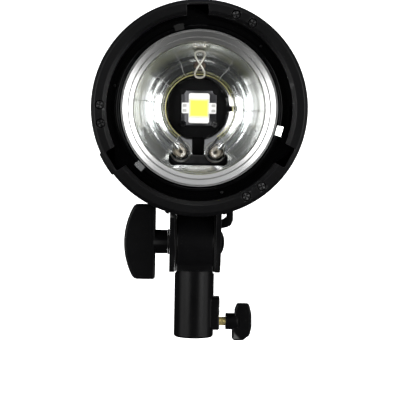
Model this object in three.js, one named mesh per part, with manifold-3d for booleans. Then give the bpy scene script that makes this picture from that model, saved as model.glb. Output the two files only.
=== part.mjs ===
// A battery monolight strobe on its tilting stand adapter, in millimetres, +Z up.
// The origin is the centre of the stand socket's mouth. The light shines towards -Y and the controls face +Y.
import * as THREE from "three";
import { mergeVertices } from "three/addons/utils/BufferGeometryUtils.js";
import Module from "manifold-3d";

const wasm = await Module();
wasm.setup();

// ---- Driving dimensions -------------------------------------------------------------------------------------------
const GAP = 0.3; // air left between pieces that touch
const PIVOT_Z = 59.6; // tilt bolt above the socket's mouth
const AXIS_ABOVE_PIVOT = 84; // light axis above the tilt bolt
const HEAD_AXIS_Z = PIVOT_Z + AXIS_ABOVE_PIVOT;
const FACE_Y = -85; // front face of the mount ring
const PIVOT_DEPTH = -FACE_Y; // the tilt bolt's distance behind that face

const RING_R = 62.5; // mount ring, outside
const RING_DEPTH = 10;
const LIP_R = 53.6; // mount ring, opening between the lugs
const LIP_THICK = 4.6;
const NOTCH_R = 59.4; // how far out the bayonet notches reach
const NOTCH_WIDE = 12.5;
const LUGS = 3;
const FIRST_LUG = -2; // the top notch's place, in degrees clockwise from the top
const POCKET_TURN = [-30, 7]; // the lug pocket behind the lip, in degrees clockwise from its notch
const SCREW_R = 57.4; // circle of the ring screws
const SCREW_TURNS = [22.4, 33]; // one pair of ring screws, in degrees clockwise from a notch

const COLLAR_R = 48.2; // collar that a modifier slides over
const CUP_R = 46.4; // inside of that collar
const BASE_FRONT = RING_DEPTH + GAP;
const BASE_THICK = 2.7;
const BULKHEAD = 44; // depth of the lamp bulkhead behind the face

const DISH_R = 45.6; // reflector rim
const DISH_RIM = 7; // depth of the rim behind the face
const BOWL_R = 38;
const BOWL_TOP = 12;
const BOWL_DEEP = 20;
const DISH_THICK = 1;

const TUBE_R = 5.25; // flash tube glass
const TUBE_RING_R = 25.2; // its ring, at the centre of the glass
const TUBE_PLANE = 15; // depth of that ring
const TUBE_LEG_TURN = 158.5; // each leg's place, in degrees from the top
const TUBE_LEG_R = 27.6;
const TUBE_END = 45.5;

const LAMP_PLATE_R = 17.8;
const LAMP_PLATE_X = -1.2; // the lamp plate sits a little to one side
const LAMP_FRONT = 22;
const LED_SIDE = 20.4;

const SHELL_R = 56;
const SHELL_WALL = 2.5;
const SHELL_FRONT = BASE_FRONT + BASE_THICK + GAP;
const SHELL_END = 188;
const PANEL_THICK = 3.5;
const PANEL_BACK = SHELL_END - 0.5;
const BAY_TOP = -20; // ceiling of the battery bay, from the light axis
const BAY_FRONT = 112;
const BATTERY_END = 202;

const YOKE_INNER = 12.7; // inner face of each yoke ear
const YOKE_OUTER = 16;
const EAR_R = 19.1;
const FOOT_BOTTOM = 20.5; // yoke foot above the tilt bolt
const FOOT_TOP = 23;
const FOOT_HALF_X = 17.3; // the foot's edges run in the rail under the body
const FOOT_HALF_Y = 20;
const RAIL = { bottom: 19.2, lipTop: 20.2, roof: FOOT_TOP + 0.3, lipX: 16.3, innerX: 17.6, outerX: 19.2, halfY: 26 };

const BARREL_R = 18.4; // head of the stand socket
const BARREL_HALF = 11.6;
const SLEEVE_R = 12.4;
const SOCKET_R = 8.3; // takes a 16 mm stud
const SOCKET_DEPTH = 40;
const LOCK_Z = 9.9; // height of the stud-locking screw
const BOLT_R = 4; // M8 tilt bolt
const LOCK_R = 3; // M6 locking screw

// ---- Materials ----------------------------------------------------------------------------------------------------
const finish = (color, roughness, metalness) => new THREE.MeshStandardMaterial({ color, roughness, metalness });
const MATTE_BLACK = finish(0x1b1b1c, 0.6, 0);
const GLOSS_BLACK = finish(0x0b0b0c, 0.2, 0);
const CAST_BLACK = finish(0x1a1a1b, 0.5, 0.4);
const POLISHED = finish(0xe8e8e6, 0.08, 1);
const STEEL = finish(0xb9bbbd, 0.3, 1);
const BRASS = finish(0xc9a760, 0.3, 1);
const GLASS = new THREE.MeshStandardMaterial({ color: 0xeef4f6, roughness: 0.05, transparent: true, opacity: 0.35 });
const WHITE_PLASTIC = finish(0xf4f4f0, 0.5, 0);
const PHOSPHOR = finish(0xf2ee5a, 0.7, 0);
const CERAMIC = finish(0xe6dcc8, 0.6, 0);
const RUBBER = finish(0x151516, 0.85, 0);
const BOARD = finish(0x1f5a34, 0.6, 0);
const SLEEVING = finish(0x22314d, 0.45, 0);

// ---- Solids from three.js geometry --------------------------------------------------------------------------------
// A closed geometry as a solid that can be cut and joined, turned outwards if it came inside out.
function solid(geometry) {
  const loose = geometry.index ? geometry.toNonIndexed() : geometry;
  const bare = new THREE.BufferGeometry().setAttribute("position", loose.getAttribute("position"));
  const merged = mergeVertices(bare, 1e-4);
  const corners = [];
  const index = merged.index.array;
  for (let i = 0; i < index.length; i += 3) {
    const [a, b, c] = [index[i], index[i + 1], index[i + 2]];
    if (a !== b && b !== c && a !== c) corners.push(a, b, c);
  }
  const build = (triVerts) =>
    new wasm.Manifold(new wasm.Mesh({ numProp: 3, vertProperties: merged.attributes.position.array, triVerts }));
  const made = build(Uint32Array.from(corners));
  return made.volume() > 0 ? made : build(Uint32Array.from(corners).reverse());
}

function geometryOf(shape) {
  const { numProp, numVert, vertProperties, triVerts } = shape.getMesh();
  const position = new Float32Array(numVert * 3);
  for (let i = 0; i < numVert; i++) position.set(vertProperties.subarray(i * numProp, i * numProp + 3), i * 3);
  const geometry = new THREE.BufferGeometry().setAttribute("position", new THREE.BufferAttribute(position, 3));
  geometry.setIndex(new THREE.BufferAttribute(Uint32Array.from(triVerts), 1));
  const flat = geometry.toNonIndexed();
  flat.computeVertexNormals();
  return flat;
}

const join = (...shapes) => shapes.reduce((a, b) => a.add(b));
const cut = (shape, ...tools) => tools.reduce((a, b) => a.subtract(b), shape);
const piece = (name, shape, material) => {
  const mesh = new THREE.Mesh(geometryOf(shape), material);
  mesh.name = name;
  return mesh;
};

// A box between two values on each axis.
function block([x0, x1], [y0, y1], [z0, z1]) {
  const geometry = new THREE.BoxGeometry(x1 - x0, y1 - y0, z1 - z0);
  return solid(geometry.translate((x0 + x1) / 2, (y0 + y1) / 2, (z0 + z1) / 2));
}

// A closed outline of [radius, height] points turned about the Y axis. One that ends on the axis closes there.
function turned(outline, sides = 32) {
  const points = outline.map(([r, y]) => new THREE.Vector2(r, y));
  if (outline[0][0] > 0) points.push(points[0].clone());
  return solid(new THREE.LatheGeometry(points, sides));
}

// A disc, or a ring if it has a hole, about the Y axis.
const disc = (r, [y0, y1], sides = 32) => turned([[0, y0], [r, y0], [r, y1], [0, y1]], sides);
const ring = (inner, outer, [y0, y1], sides = 32) =>
  turned([[inner, y0], [outer, y0], [outer, y1], [inner, y1]], sides);

// The Y axis laid along X, or stood up along Z.
const alongX = (shape) => shape.rotate([0, 0, -90]);
const alongZ = (shape) => shape.rotate([90, 0, 0]);
const at = (shape, x, y, z) => shape.translate([x, y, z]);

// A flat outline in X and Z, given a thickness along Y.
function slabY(shape, [y0, y1], curveSegments = 12) {
  const geometry = new THREE.ExtrudeGeometry(shape, { depth: y1 - y0, bevelEnabled: false, curveSegments });
  return solid(geometry.rotateX(Math.PI / 2).translate(0, y1, 0));
}

// A flat outline in Y and Z, given a thickness along X.
function slabX(shape, [x0, x1], curveSegments = 12) {
  const geometry = new THREE.ExtrudeGeometry(shape, { depth: x1 - x0, bevelEnabled: false, curveSegments });
  geometry.rotateX(Math.PI / 2).rotateZ(Math.PI / 2);
  return solid(geometry.translate(x0, 0, 0));
}

function roundedRect(x0, x1, z0, z1, r) {
  const shape = new THREE.Shape();
  shape.moveTo(x0 + r, z0);
  shape.lineTo(x1 - r, z0).absarc(x1 - r, z0 + r, r, -Math.PI / 2, 0);
  shape.lineTo(x1, z1 - r).absarc(x1 - r, z1 - r, r, 0, Math.PI / 2);
  shape.lineTo(x0 + r, z1).absarc(x0 + r, z1 - r, r, Math.PI / 2, Math.PI);
  shape.lineTo(x0, z0 + r).absarc(x0 + r, z0 + r, r, Math.PI, 1.5 * Math.PI);
  return shape;
}

// Angles round the light axis run clockwise from the top, as seen from the front.
const radians = THREE.MathUtils.degToRad;
const onCircle = (r, turn) => [r * Math.sin(radians(turn)), r * Math.cos(radians(turn))];
const clockwise = (shape, turn) => shape.rotate([0, turn, 0]);

// Part of a ring between two angles, [inner, outer] radius, with a thickness along Y.
function sector([inner, outer], [from, to], depth, sides = 12) {
  const start = radians(90 - to);
  const end = radians(90 - from);
  const shape = new THREE.Shape();
  shape.absarc(0, 0, outer, start, end);
  shape.absarc(0, 0, inner, end, start, true);
  return slabY(shape, depth, sides);
}

const lugTurns = Array.from({ length: LUGS }, (_, i) => FIRST_LUG + (i * 360) / LUGS);
const screwTurns = lugTurns.flatMap((lug) => SCREW_TURNS.map((turn) => lug + turn));

// ---- Bayonet mount ------------------------------------------------------------------------------------------------
const SCREW_HEAD_R = 2.4;
const SCREW_SHANK_R = 1.25;
const SCREW_SEAT = 2.1; // depth of each screw's counterbore

function mountRing() {
  const faceBevel = 2;
  const lipBevel = 2.3;
  const body = turned(
    [
      [LIP_R, lipBevel],
      [LIP_R + lipBevel, 0],
      [RING_R - faceBevel, 0],
      [RING_R, faceBevel],
      [RING_R, RING_DEPTH],
      [LIP_R, RING_DEPTH],
    ],
    72,
  );
  const cuts = [];
  for (const turn of lugTurns) {
    cuts.push(clockwise(block([-NOTCH_WIDE / 2, NOTCH_WIDE / 2], [-1, RING_DEPTH + 1], [LIP_R - 5, NOTCH_R]), turn));
    const pocket = POCKET_TURN.map((t) => t + turn);
    cuts.push(sector([LIP_R - 2, RING_R - 2.7], pocket, [LIP_THICK, RING_DEPTH + 1]));
  }
  for (const turn of screwTurns) {
    const [x, z] = onCircle(SCREW_R, turn);
    cuts.push(at(disc(SCREW_HEAD_R + GAP, [-1, SCREW_SEAT], 16), x, 0, z));
    cuts.push(at(disc(SCREW_SHANK_R + GAP, [-1, RING_DEPTH + 1], 12), x, 0, z));
  }
  return cut(body, ...cuts);
}

function ringScrew(turn) {
  const [x, z] = onCircle(SCREW_R, turn);
  const headTop = 0.35;
  const headBottom = SCREW_SEAT - 0.1;
  const tip = BASE_FRONT + BASE_THICK - 0.2;
  const shape = turned(
    [[0, headTop], [SCREW_HEAD_R - 0.5, headTop], [SCREW_HEAD_R, headTop + 0.6], [SCREW_HEAD_R, headBottom],
      [SCREW_SHANK_R, headBottom], [SCREW_SHANK_R, tip], [0, tip]],
    12,
  );
  return at(shape, x, 0, z);
}

const LOCK_PIN_TURN = 227.3;
const LOCK_PIN_AT = 58; // its distance from the light axis
const LOCK_PIN_R = 1.6;
const SOCKET_HOUSE_R = 7; // ceramic socket of each tube leg
const LAMP_POST_R = 8.5;
const legPlace = (side) => [side * TUBE_LEG_R * Math.sin(radians(TUBE_LEG_TURN)),
  TUBE_LEG_R * Math.cos(radians(TUBE_LEG_TURN))];

// The moulding behind the ring: a flange, the collar, the cup round the reflector and the lamp bulkhead.
function mountBase() {
  const flangeBack = BASE_FRONT + BASE_THICK;
  const spigotR = SHELL_R - SHELL_WALL - 0.5;
  const spigotWall = 2.4;
  const spigotEnd = flangeBack + 8;
  const bulkheadBack = BULKHEAD + 2.5;
  const body = turned(
    [
      [CUP_R, 6],
      [COLLAR_R, 6],
      [COLLAR_R, BASE_FRONT],
      [RING_R - 0.5, BASE_FRONT],
      [RING_R - 0.5, flangeBack],
      [spigotR, flangeBack],
      [spigotR, spigotEnd],
      [spigotR - spigotWall, spigotEnd],
      [spigotR - spigotWall, flangeBack],
      [COLLAR_R, flangeBack],
      [COLLAR_R, bulkheadBack],
      [LAMP_POST_R + GAP, bulkheadBack],
      [LAMP_POST_R + GAP, BULKHEAD],
      [CUP_R, BULKHEAD],
    ],
    60,
  );
  const [pinX, pinZ] = onCircle(LOCK_PIN_AT, LOCK_PIN_TURN);
  const cuts = [at(disc(LOCK_PIN_R + GAP, [0, flangeBack + 1], 16), pinX, 0, pinZ)];
  for (const turn of screwTurns) {
    const [x, z] = onCircle(SCREW_R, turn);
    cuts.push(at(disc(SCREW_SHANK_R + GAP, [0, flangeBack + 1], 12), x, 0, z));
  }
  for (const side of [-1, 1]) {
    const [x, z] = legPlace(side);
    cuts.push(at(disc(SOCKET_HOUSE_R + GAP, [BULKHEAD - 1, bulkheadBack + 1], 20), x, 0, z));
  }
  return cut(body, ...cuts);
}

// A spring leaf on the outside of the collar, which presses on a modifier's sleeve.
function collarSpring(turn) {
  const halfTurn = 4;
  return sector([COLLAR_R + GAP, COLLAR_R + 1.3], [turn - halfTurn, turn + halfTurn], [6.4, BASE_FRONT - 0.1], 4);
}

const SPRING_TURN = -13; // each leaf's place from its notch

// The thumb slider behind the ring that draws the lock pin back.
function releaseSlider() {
  const thumb = sector([SHELL_R + 0.4, RING_R + 1.5], [231.5, 244.5], [SHELL_FRONT + 0.1, 21], 6);
  const shoe = sector([SHELL_R + 0.4, RING_R - 3], [231.2, 251], [SHELL_FRONT + 0.1, 17], 6);
  return join(thumb, shoe);
}

function lockPin() {
  const [x, z] = onCircle(LOCK_PIN_AT, LOCK_PIN_TURN);
  const shape = turned([[0, 5.6], [1, 5.6], [LOCK_PIN_R, 6.2], [LOCK_PIN_R, 16], [0, 16]], 16);
  return at(shape, x, 0, z);
}

// ---- Lamp ---------------------------------------------------------------------------------------------------------
const bowl = (r) => BOWL_TOP + BOWL_DEEP * (1 - (r / BOWL_R) ** 2); // depth of the reflector's bowl
const TUBE_BAR = { half: 17.3, from: -33.4, to: -27 }; // T-shaped opening below the lamp
const TUBE_STEM_HALF = 3.7;
const LEG_HOLE_R = TUBE_R + 1.1;
const TUBE_POST_R = 3.6;
const TUBE_POST_FRONT = TUBE_PLANE + TUBE_R + 1.6;

function reflector() {
  const steps = 9;
  const inner = LAMP_POST_R + 0.5;
  const front = [[DISH_R, DISH_RIM], [DISH_R - 0.8, DISH_RIM - 0.4], [BOWL_R + 0.6, DISH_RIM + 2.2]];
  const back = [[inner, bowl(inner) + DISH_THICK]];
  for (let i = 0; i <= steps; i++) {
    const r = BOWL_R + (inner - BOWL_R) * (i / steps);
    front.push([r, bowl(r)]);
    if (i < steps) back.splice(1, 0, [r + DISH_THICK * 0.7, bowl(r) + DISH_THICK]);
  }
  const rim = [[BOWL_R + 1.5, DISH_RIM + 3.2], [DISH_R, DISH_RIM + 1]];
  const body = turned([...front, ...back, ...rim], 56);
  const { half, from, to } = TUBE_BAR;
  const bar = slabY(roundedRect(-half, half, from, to, 3), [0, BULKHEAD], 4);
  const stem = block([-TUBE_STEM_HALF, TUBE_STEM_HALF], [0, BULKHEAD], [from + 1, 0]);
  const legHoles = [-1, 1].map((side) => {
    const [x, z] = legPlace(side);
    return at(disc(LEG_HOLE_R, [0, BULKHEAD], 20), x, 0, z);
  });
  const postHole = at(disc(TUBE_POST_R + GAP, [BOWL_TOP, BULKHEAD], 16), 0, 0, TUBE_RING_R);
  return cut(body, bar, stem, ...legHoles, postHole);
}

// The black plate that carries the LED, and its post through the middle of the reflector.
function lampPlate() {
  const back = LAMP_FRONT + 2.5;
  const plate = at(disc(LAMP_PLATE_R, [LAMP_FRONT, back], 40), LAMP_PLATE_X, 0, 0);
  const trimmed = cut(plate, block([-30, 30], [0, BULKHEAD], [-30, -17.4]));
  const tabs = block([-19.4, 19.4], [LAMP_FRONT, back], [-1.6, 1.6]);
  const post = disc(LAMP_POST_R, [back - 1, BULKHEAD + 5], 28);
  return join(trimmed, tabs, post);
}

function ledBase() {
  const half = LED_SIDE / 2;
  const notch = 2.5;
  const board = block([-half, half], [LAMP_FRONT - 1.6, LAMP_FRONT - 0.1], [-half, half]);
  const corners = [-1, 1].flatMap((sx) => [-1, 1].map((sz) =>
    block(
      [sx * half - notch, sx * half + notch],
      [LAMP_FRONT - 3, LAMP_FRONT + 1],
      [sz * half - notch, sz * half + notch],
    )));
  return cut(board, ...corners);
}

const PHOSPHOR_HALF = 5.1;

function ledFrame() {
  const depth = [LAMP_FRONT - 2.9, LAMP_FRONT - 1.7];
  const window = PHOSPHOR_HALF + 0.1;
  const upright = slabY(roundedRect(-6.1, 6.1, -8.8, 8.8, 1.2), depth, 3);
  const arms = block([-10.2, 10.2], depth, [-3.2, 3.2]);
  return cut(join(upright, arms), block([-window, window], [0, BULKHEAD], [-window, window]));
}

const ledPhosphor = () =>
  block(
    [-PHOSPHOR_HALF, PHOSPHOR_HALF],
    [LAMP_FRONT - 2.6, LAMP_FRONT - 1.7],
    [-PHOSPHOR_HALF, PHOSPHOR_HALF],
  );

// The ring of the flash tube, open at the bottom, and a leg at each end that turns back into its socket.
class TubePath extends THREE.Curve {
  constructor() {
    super();
    this.bend = 6;
    this.straight = TUBE_END - TUBE_PLANE - this.bend;
    this.arc = radians(2 * TUBE_LEG_TURN) * TUBE_RING_R;
    this.corner = (Math.PI / 2) * this.bend;
    this.total = 2 * (this.straight + this.corner) + this.arc;
  }

  getPoint(t, target = new THREE.Vector3()) {
    const along = Math.abs(t - 0.5) * this.total; // from the top of the ring
    const side = t < 0.5 ? -1 : 1;
    const ringEnd = this.arc / 2;
    let angle = Math.min(along, ringEnd) / TUBE_RING_R;
    let depth = TUBE_PLANE;
    let radius = TUBE_RING_R;
    const past = along - ringEnd;
    if (past > 0) {
      const swing = Math.min(past / this.bend, Math.PI / 2);
      depth += this.bend * (1 - Math.cos(swing)) + Math.max(0, past - this.corner);
      radius += (TUBE_LEG_R - TUBE_RING_R) * Math.sin(swing);
      angle += (this.bend * Math.sin(swing)) / TUBE_RING_R;
    }
    const lead = this.bend / TUBE_RING_R; // the corner carries the leg on by this angle
    angle *= radians(TUBE_LEG_TURN) / (radians(TUBE_LEG_TURN) + lead);
    return target.set(side * radius * Math.sin(angle), depth, radius * Math.cos(angle));
  }
}

function flashTube() {
  const section = new THREE.Shape().absarc(0, 0, TUBE_R, 0, 2 * Math.PI);
  const tube = { extrudePath: new TubePath(), steps: 56, curveSegments: 5, bevelEnabled: false };
  return solid(new THREE.ExtrudeGeometry(section, tube));
}

function tubeClip() {
  const wire = 0.45;
  const loop = new THREE.TorusGeometry(TUBE_R + wire + 0.3, wire, 6, 20);
  return solid(loop.rotateY(Math.PI / 2).translate(0, TUBE_PLANE, TUBE_RING_R));
}

const tubePost = () => at(disc(TUBE_POST_R, [TUBE_POST_FRONT, BULKHEAD - 0.1], 14), 0, 0, TUBE_RING_R);

function tubeSocket(side) {
  const [x, z] = legPlace(side);
  const bore = TUBE_R + 0.45;
  const shape = turned(
    [[0, TUBE_END + 0.4], [bore, TUBE_END + 0.4], [bore, 40], [SOCKET_HOUSE_R, 40], [SOCKET_HOUSE_R, 54], [0, 54]],
    20,
  );
  return at(shape, x, 0, z);
}

// ---- Body ---------------------------------------------------------------------------------------------------------
const SPLIT = 0.15; // half the joint between the two shells
const VENT = { length: 34, width: 2.6, turns: [52, 60, 68, 76], from: 120 };
const TAIL_BEVEL = 3;

function shellTube() {
  const inner = SHELL_R - SHELL_WALL;
  return turned(
    [
      [inner, SHELL_FRONT],
      [SHELL_R, SHELL_FRONT],
      [SHELL_R, SHELL_END - TAIL_BEVEL],
      [SHELL_R - TAIL_BEVEL * 0.6, SHELL_END],
      [inner, SHELL_END],
    ],
    56,
  );
}

function upperShell() {
  const reach = SHELL_R + 10;
  const half = shellTube().intersect(block([-reach, reach], [0, SHELL_END + 1], [SPLIT, reach]));
  const slots = [];
  for (const side of [-1, 1]) {
    for (const turn of VENT.turns) {
      const slot = block(
        [-VENT.width / 2, VENT.width / 2],
        [VENT.from, VENT.from + VENT.length],
        [SHELL_R - 8, reach],
      );
      slots.push(clockwise(slot, side * turn));
    }
  }
  return cut(half, ...slots);
}

// The lower shell, with the rail that the yoke's foot slides in, and the battery bay's front wall and ceiling.
function lowerShell() {
  const reach = SHELL_R + 10;
  const inner = SHELL_R - SHELL_WALL;
  const wall = 2;
  const half = shellTube().intersect(block([-reach, reach], [0, SHELL_END + 1], [-reach, -SPLIT]));
  const bay = block([-reach, reach], [BAY_FRONT, SHELL_END + 1], [-reach, BAY_TOP]);
  const bore = disc(inner + 0.5, [BAY_FRONT - wall, SHELL_END], 56);
  const lining = join(
    block([-reach, reach], [BAY_FRONT - wall, SHELL_END - 6], [BAY_TOP, BAY_TOP + wall]),
    block([-reach, reach], [BAY_FRONT - wall, BAY_FRONT], [-reach, BAY_TOP + wall]),
  ).intersect(bore);
  const along = [PIVOT_DEPTH - RAIL.halfY, PIVOT_DEPTH + RAIL.halfY];
  const up = (...values) => values.map((z) => z - AXIS_ABOVE_PIVOT);
  const rail = cut(
    block([-RAIL.outerX, RAIL.outerX], along, up(RAIL.bottom, AXIS_ABOVE_PIVOT - inner + 6)),
    block([-RAIL.innerX, RAIL.innerX], [0, SHELL_END], up(RAIL.lipTop, RAIL.roof)),
    block([-RAIL.lipX, RAIL.lipX], [0, SHELL_END], up(0, RAIL.roof)),
    disc(inner + 0.1, [0, SHELL_END], 56),
  );
  return join(cut(half, bay), lining, rail);
}

// What the rear panel carries, as places in X and Z from the light axis.
const DISPLAY = { halfX: 23, from: 13, to: 43 };
const DIAL = { x: 0, z: -4, r: 12 };
const BUTTONS = { button_mode: -37, button_test: -23.5, button_lamp: 23.5, button_set: 37 };
const BUTTON_Z = -6;
const BUTTON_R = 4.4;
const SWITCH = { x: -37, z: 14, halfX: 5, halfZ: 2.6 };
const JACK = { x: -37, z: 26, r: 3.6 };
const PORT = { x: 36, z: 20, halfX: 4, halfZ: 6.5 };
const SENSOR = { x: 0, z: 48.2, r: 2.6 };

function rearPanel() {
  const depth = [PANEL_BACK - PANEL_THICK, PANEL_BACK];
  const through = [0, SHELL_END + 1];
  const plate = cut(
    disc(SHELL_R - SHELL_WALL - 0.4, depth, 56),
    block([-60, 60], through, [-60, BAY_TOP + 2.4]),
  );
  const holes = Object.values(BUTTONS).map((x) => at(disc(BUTTON_R + GAP, through, 16), x, 0, BUTTON_Z));
  const window = roundedRect(-DISPLAY.halfX, DISPLAY.halfX, DISPLAY.from, DISPLAY.to, 2);
  const slot = [SWITCH.z - SWITCH.halfZ, SWITCH.z + SWITCH.halfZ];
  const port = [PORT.z - PORT.halfZ, PORT.z + PORT.halfZ];
  return cut(
    plate,
    ...holes,
    slabY(window, through, 3),
    at(disc(3.4, through, 16), DIAL.x, 0, DIAL.z),
    at(disc(JACK.r + GAP, through, 16), JACK.x, 0, JACK.z),
    at(disc(SENSOR.r + GAP, through, 16), SENSOR.x, 0, SENSOR.z),
    block([SWITCH.x - SWITCH.halfX, SWITCH.x + SWITCH.halfX], through, slot),
    block([PORT.x - PORT.halfX, PORT.x + PORT.halfX], through, port),
  );
}

function displayWindow() {
  const inset = GAP;
  const outline = roundedRect(
    -DISPLAY.halfX + inset, DISPLAY.halfX - inset, DISPLAY.from + inset, DISPLAY.to - inset, 1.8);
  return slabY(outline, [PANEL_BACK - 1.6, PANEL_BACK - 0.2], 3);
}

function displayModule() {
  const glass = block([-21.5, 21.5], [180.5, PANEL_BACK - 2.2], [14.5, 41.5]);
  const board = block([-27, 27], [176, 180.6], [11, 45]);
  return join(board, glass);
}

const SHAFT_TIP = 196;

function dialKnob() {
  const bore = 3.2;
  const top = 199;
  const shape = turned(
    [[0, SHAFT_TIP + 0.5], [bore, SHAFT_TIP + 0.5], [bore, 188.2], [DIAL.r, 188.2], [DIAL.r, top - 1.5],
      [DIAL.r - 1.5, top], [0, top]],
    32,
  );
  return at(shape, DIAL.x, 0, DIAL.z);
}

function dialEncoder() {
  const can = block([-6, 6], [174, 183.6], [-6, 6]);
  return at(join(can, disc(2.8, [183, SHAFT_TIP], 14)), DIAL.x, 0, DIAL.z);
}

function button(x) {
  const cap = turned([[0, 179], [BUTTON_R, 179], [BUTTON_R, 189], [BUTTON_R - 0.8, 189.8], [0, 189.8]], 16);
  const flange = disc(BUTTON_R + 1.2, [180, 182], 16);
  return at(join(cap, flange), x, 0, BUTTON_Z);
}

const SWITCH_TRAVEL = 4;

function powerSwitch() {
  const left = SWITCH.x - SWITCH.halfX + GAP;
  const tab = [left, left + 2 * SWITCH.halfX - 2 * GAP - SWITCH_TRAVEL];
  return block(tab, [180, 189.6], [SWITCH.z - SWITCH.halfZ + GAP, SWITCH.z + SWITCH.halfZ - GAP]);
}

function syncJack() {
  const hole = 1.8;
  const shape = turned(
    [[0, 178], [hole, 178], [hole, 189], [JACK.r, 189], [JACK.r, 172], [0, 172]],
    16,
  );
  return at(shape, JACK.x, 0, JACK.z);
}

// A rubber flap over the port, hinged along its upper edge.
function portCover() {
  const back = SHELL_END + 2;
  const wide = PORT.halfX + 1.6;
  const tall = PORT.halfZ + 1.6;
  const flap = slabY(roundedRect(PORT.x - wide, PORT.x + wide, PORT.z - tall, PORT.z + tall, 1.5), [188, back], 3);
  const plug = block(
    [PORT.x - PORT.halfX + 0.8, PORT.x + PORT.halfX - 0.8],
    [186.5, 188.2],
    [PORT.z - PORT.halfZ + 0.8, PORT.z + 2],
  );
  return join(flap, plug);
}

const slaveSensor = () =>
  at(turned([[0, 182], [SENSOR.r, 182], [SENSOR.r, 188.4], [1.6, 190], [0, 190.6]], 16), SENSOR.x, 0, SENSOR.z);

// ---- Battery ------------------------------------------------------------------------------------------------------
const LATCH = { halfX: 8, from: -33, to: -27, front: 193 };

function batteryPack() {
  const clear = 0.4;
  const barrel = turned(
    [[0, BAY_FRONT + clear], [SHELL_R, BAY_FRONT + clear], [SHELL_R, BATTERY_END - 4], [SHELL_R - 4, BATTERY_END],
      [0, BATTERY_END]],
    56,
  );
  const reach = SHELL_R + 2;
  const pack = barrel.intersect(block([-reach, reach], [0, BATTERY_END + 1], [-reach, BAY_TOP - clear]));
  const pocket = block(
    [-LATCH.halfX - GAP, LATCH.halfX + GAP],
    [LATCH.front - 3, BATTERY_END + 1],
    [LATCH.from - GAP, LATCH.to + GAP],
  );
  return cut(pack, pocket);
}

const batteryLatch = () =>
  slabY(
    roundedRect(-LATCH.halfX, LATCH.halfX, LATCH.from, LATCH.to, 1.2),
    [LATCH.front, BATTERY_END - 0.3],
    3,
  );

// ---- Inside the body ----------------------------------------------------------------------------------------------
const CAPACITOR = { x: 19.5, z: 10, r: 18.3, from: 72, to: 158 };
const FAN = { half: 25, duct: 22.5, front: 56, back: 67 };

const mainBoard = () => block([-44, 44], [70, 168], [-14, -12.4]);

function capacitor(side) {
  const { x, z, r, from, to } = CAPACITOR;
  const can = turned([[0, from], [r - 1.2, from], [r, from + 1.2], [r, to - 1.2], [r - 1.2, to], [0, to]], 24);
  return at(can, side * x, 0, z);
}

const chargeTransformer = () => block([-14, 14], [84, 112], [29.5, 47]);
const triggerCoil = () => at(alongZ(turned([[0, -9], [7, -9], [7, 9], [0, 9]], 16)), 33, 60, -14);

function fanFrame() {
  const { half, duct, front, back } = FAN;
  const shroud = cut(
    block([-half, half], [front, back], [-half, half]),
    disc(duct, [front - 1, back + 1], 32),
  );
  const hub = disc(7.5, [back - 1.6, back], 16);
  const spokes = [-1, 1].map((side) =>
    block(side < 0 ? [-duct - 1, -6] : [6, duct + 1], [back - 1.6, back], [-1.5, 1.5]));
  return join(shroud, hub, ...spokes);
}

function fanRotor() {
  const { duct, front, back } = FAN;
  const blades = 7;
  const behind = back - 2;
  const hub = disc(9, [front + 1, behind], 20);
  const vane = block([7, duct - 0.9], [-0.7, 0.7], [-4.2, 4.2])
    .rotate([35, 0, 0])
    .translate([0, (front + 1 + behind) / 2, 0]);
  const ringOfVanes = Array.from({ length: blades }, (_, i) => vane.rotate([0, (i * 360) / blades, 0]));
  return join(hub, ...ringOfVanes);
}

// ---- Yoke and tilt clamp, from the tilt bolt ----------------------------------------------------------------------
const BOLT_NECK = 4; // half the side of the square under the bolt's head
const LEVER = { z: 13, half: 4, screwR: 1.6, headR: 2.6, headX: 20.6 };

function tiltYoke() {
  const profile = new THREE.Shape();
  profile.moveTo(-FOOT_HALF_Y, FOOT_TOP);
  profile.lineTo(-FOOT_HALF_Y, FOOT_BOTTOM - 4);
  profile.lineTo(-EAR_R, 0);
  profile.absarc(0, 0, EAR_R, Math.PI, 2 * Math.PI);
  profile.lineTo(FOOT_HALF_Y, FOOT_BOTTOM - 4);
  profile.lineTo(FOOT_HALF_Y, FOOT_TOP);
  const ears = slabX(profile, [-YOKE_OUTER, YOKE_OUTER], 14);
  const between = block([-YOKE_INNER, YOKE_INNER], [-30, 30], [-30, FOOT_BOTTOM]);
  const neck = BOLT_NECK + GAP;
  const foot = block([-FOOT_HALF_X, FOOT_HALF_X], [-FOOT_HALF_Y, FOOT_HALF_Y], [FOOT_BOTTOM, FOOT_TOP]);
  return cut(
    join(ears, foot),
    between,
    alongX(disc(BOLT_R + GAP, [-30, 0], 20)),
    block([0, 30], [-neck, neck], [-neck, neck]),
    at(alongX(disc(LEVER.screwR + GAP, [0, 30], 12)), 0, 0, LEVER.z),
  );
}

function tiltBolt() {
  const head = YOKE_OUTER + 0.1;
  const dome = turned(
    [[0, head], [7.2, head], [7.2, head + 0.2], [5.8, head + 1.1], [3.2, head + 2.1], [0, head + 2.5]],
    24,
  );
  const shank = disc(BOLT_R, [-33, head + 0.1], 20);
  const neck = block([YOKE_INNER + 0.1, head + 0.1], [-BOLT_NECK, BOLT_NECK], [-BOLT_NECK, BOLT_NECK]);
  return join(alongX(join(dome, shank)), neck);
}

const washer = (outer, hole, [x0, x1], sides = 28) => alongX(ring(hole, outer, [x0, x1], sides));
const TILT_WASHER = { r: 7.9, from: -17.1, to: -YOKE_OUTER - 0.1 };
const KNOB = { face: -24.7, back: -44.4, half: 23.3, thick: 15, collarR: 7.5, collarEnd: TILT_WASHER.from - GAP };
const INSERT = { r: 5.4, from: KNOB.collarEnd - 0.3, to: -30 };

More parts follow.
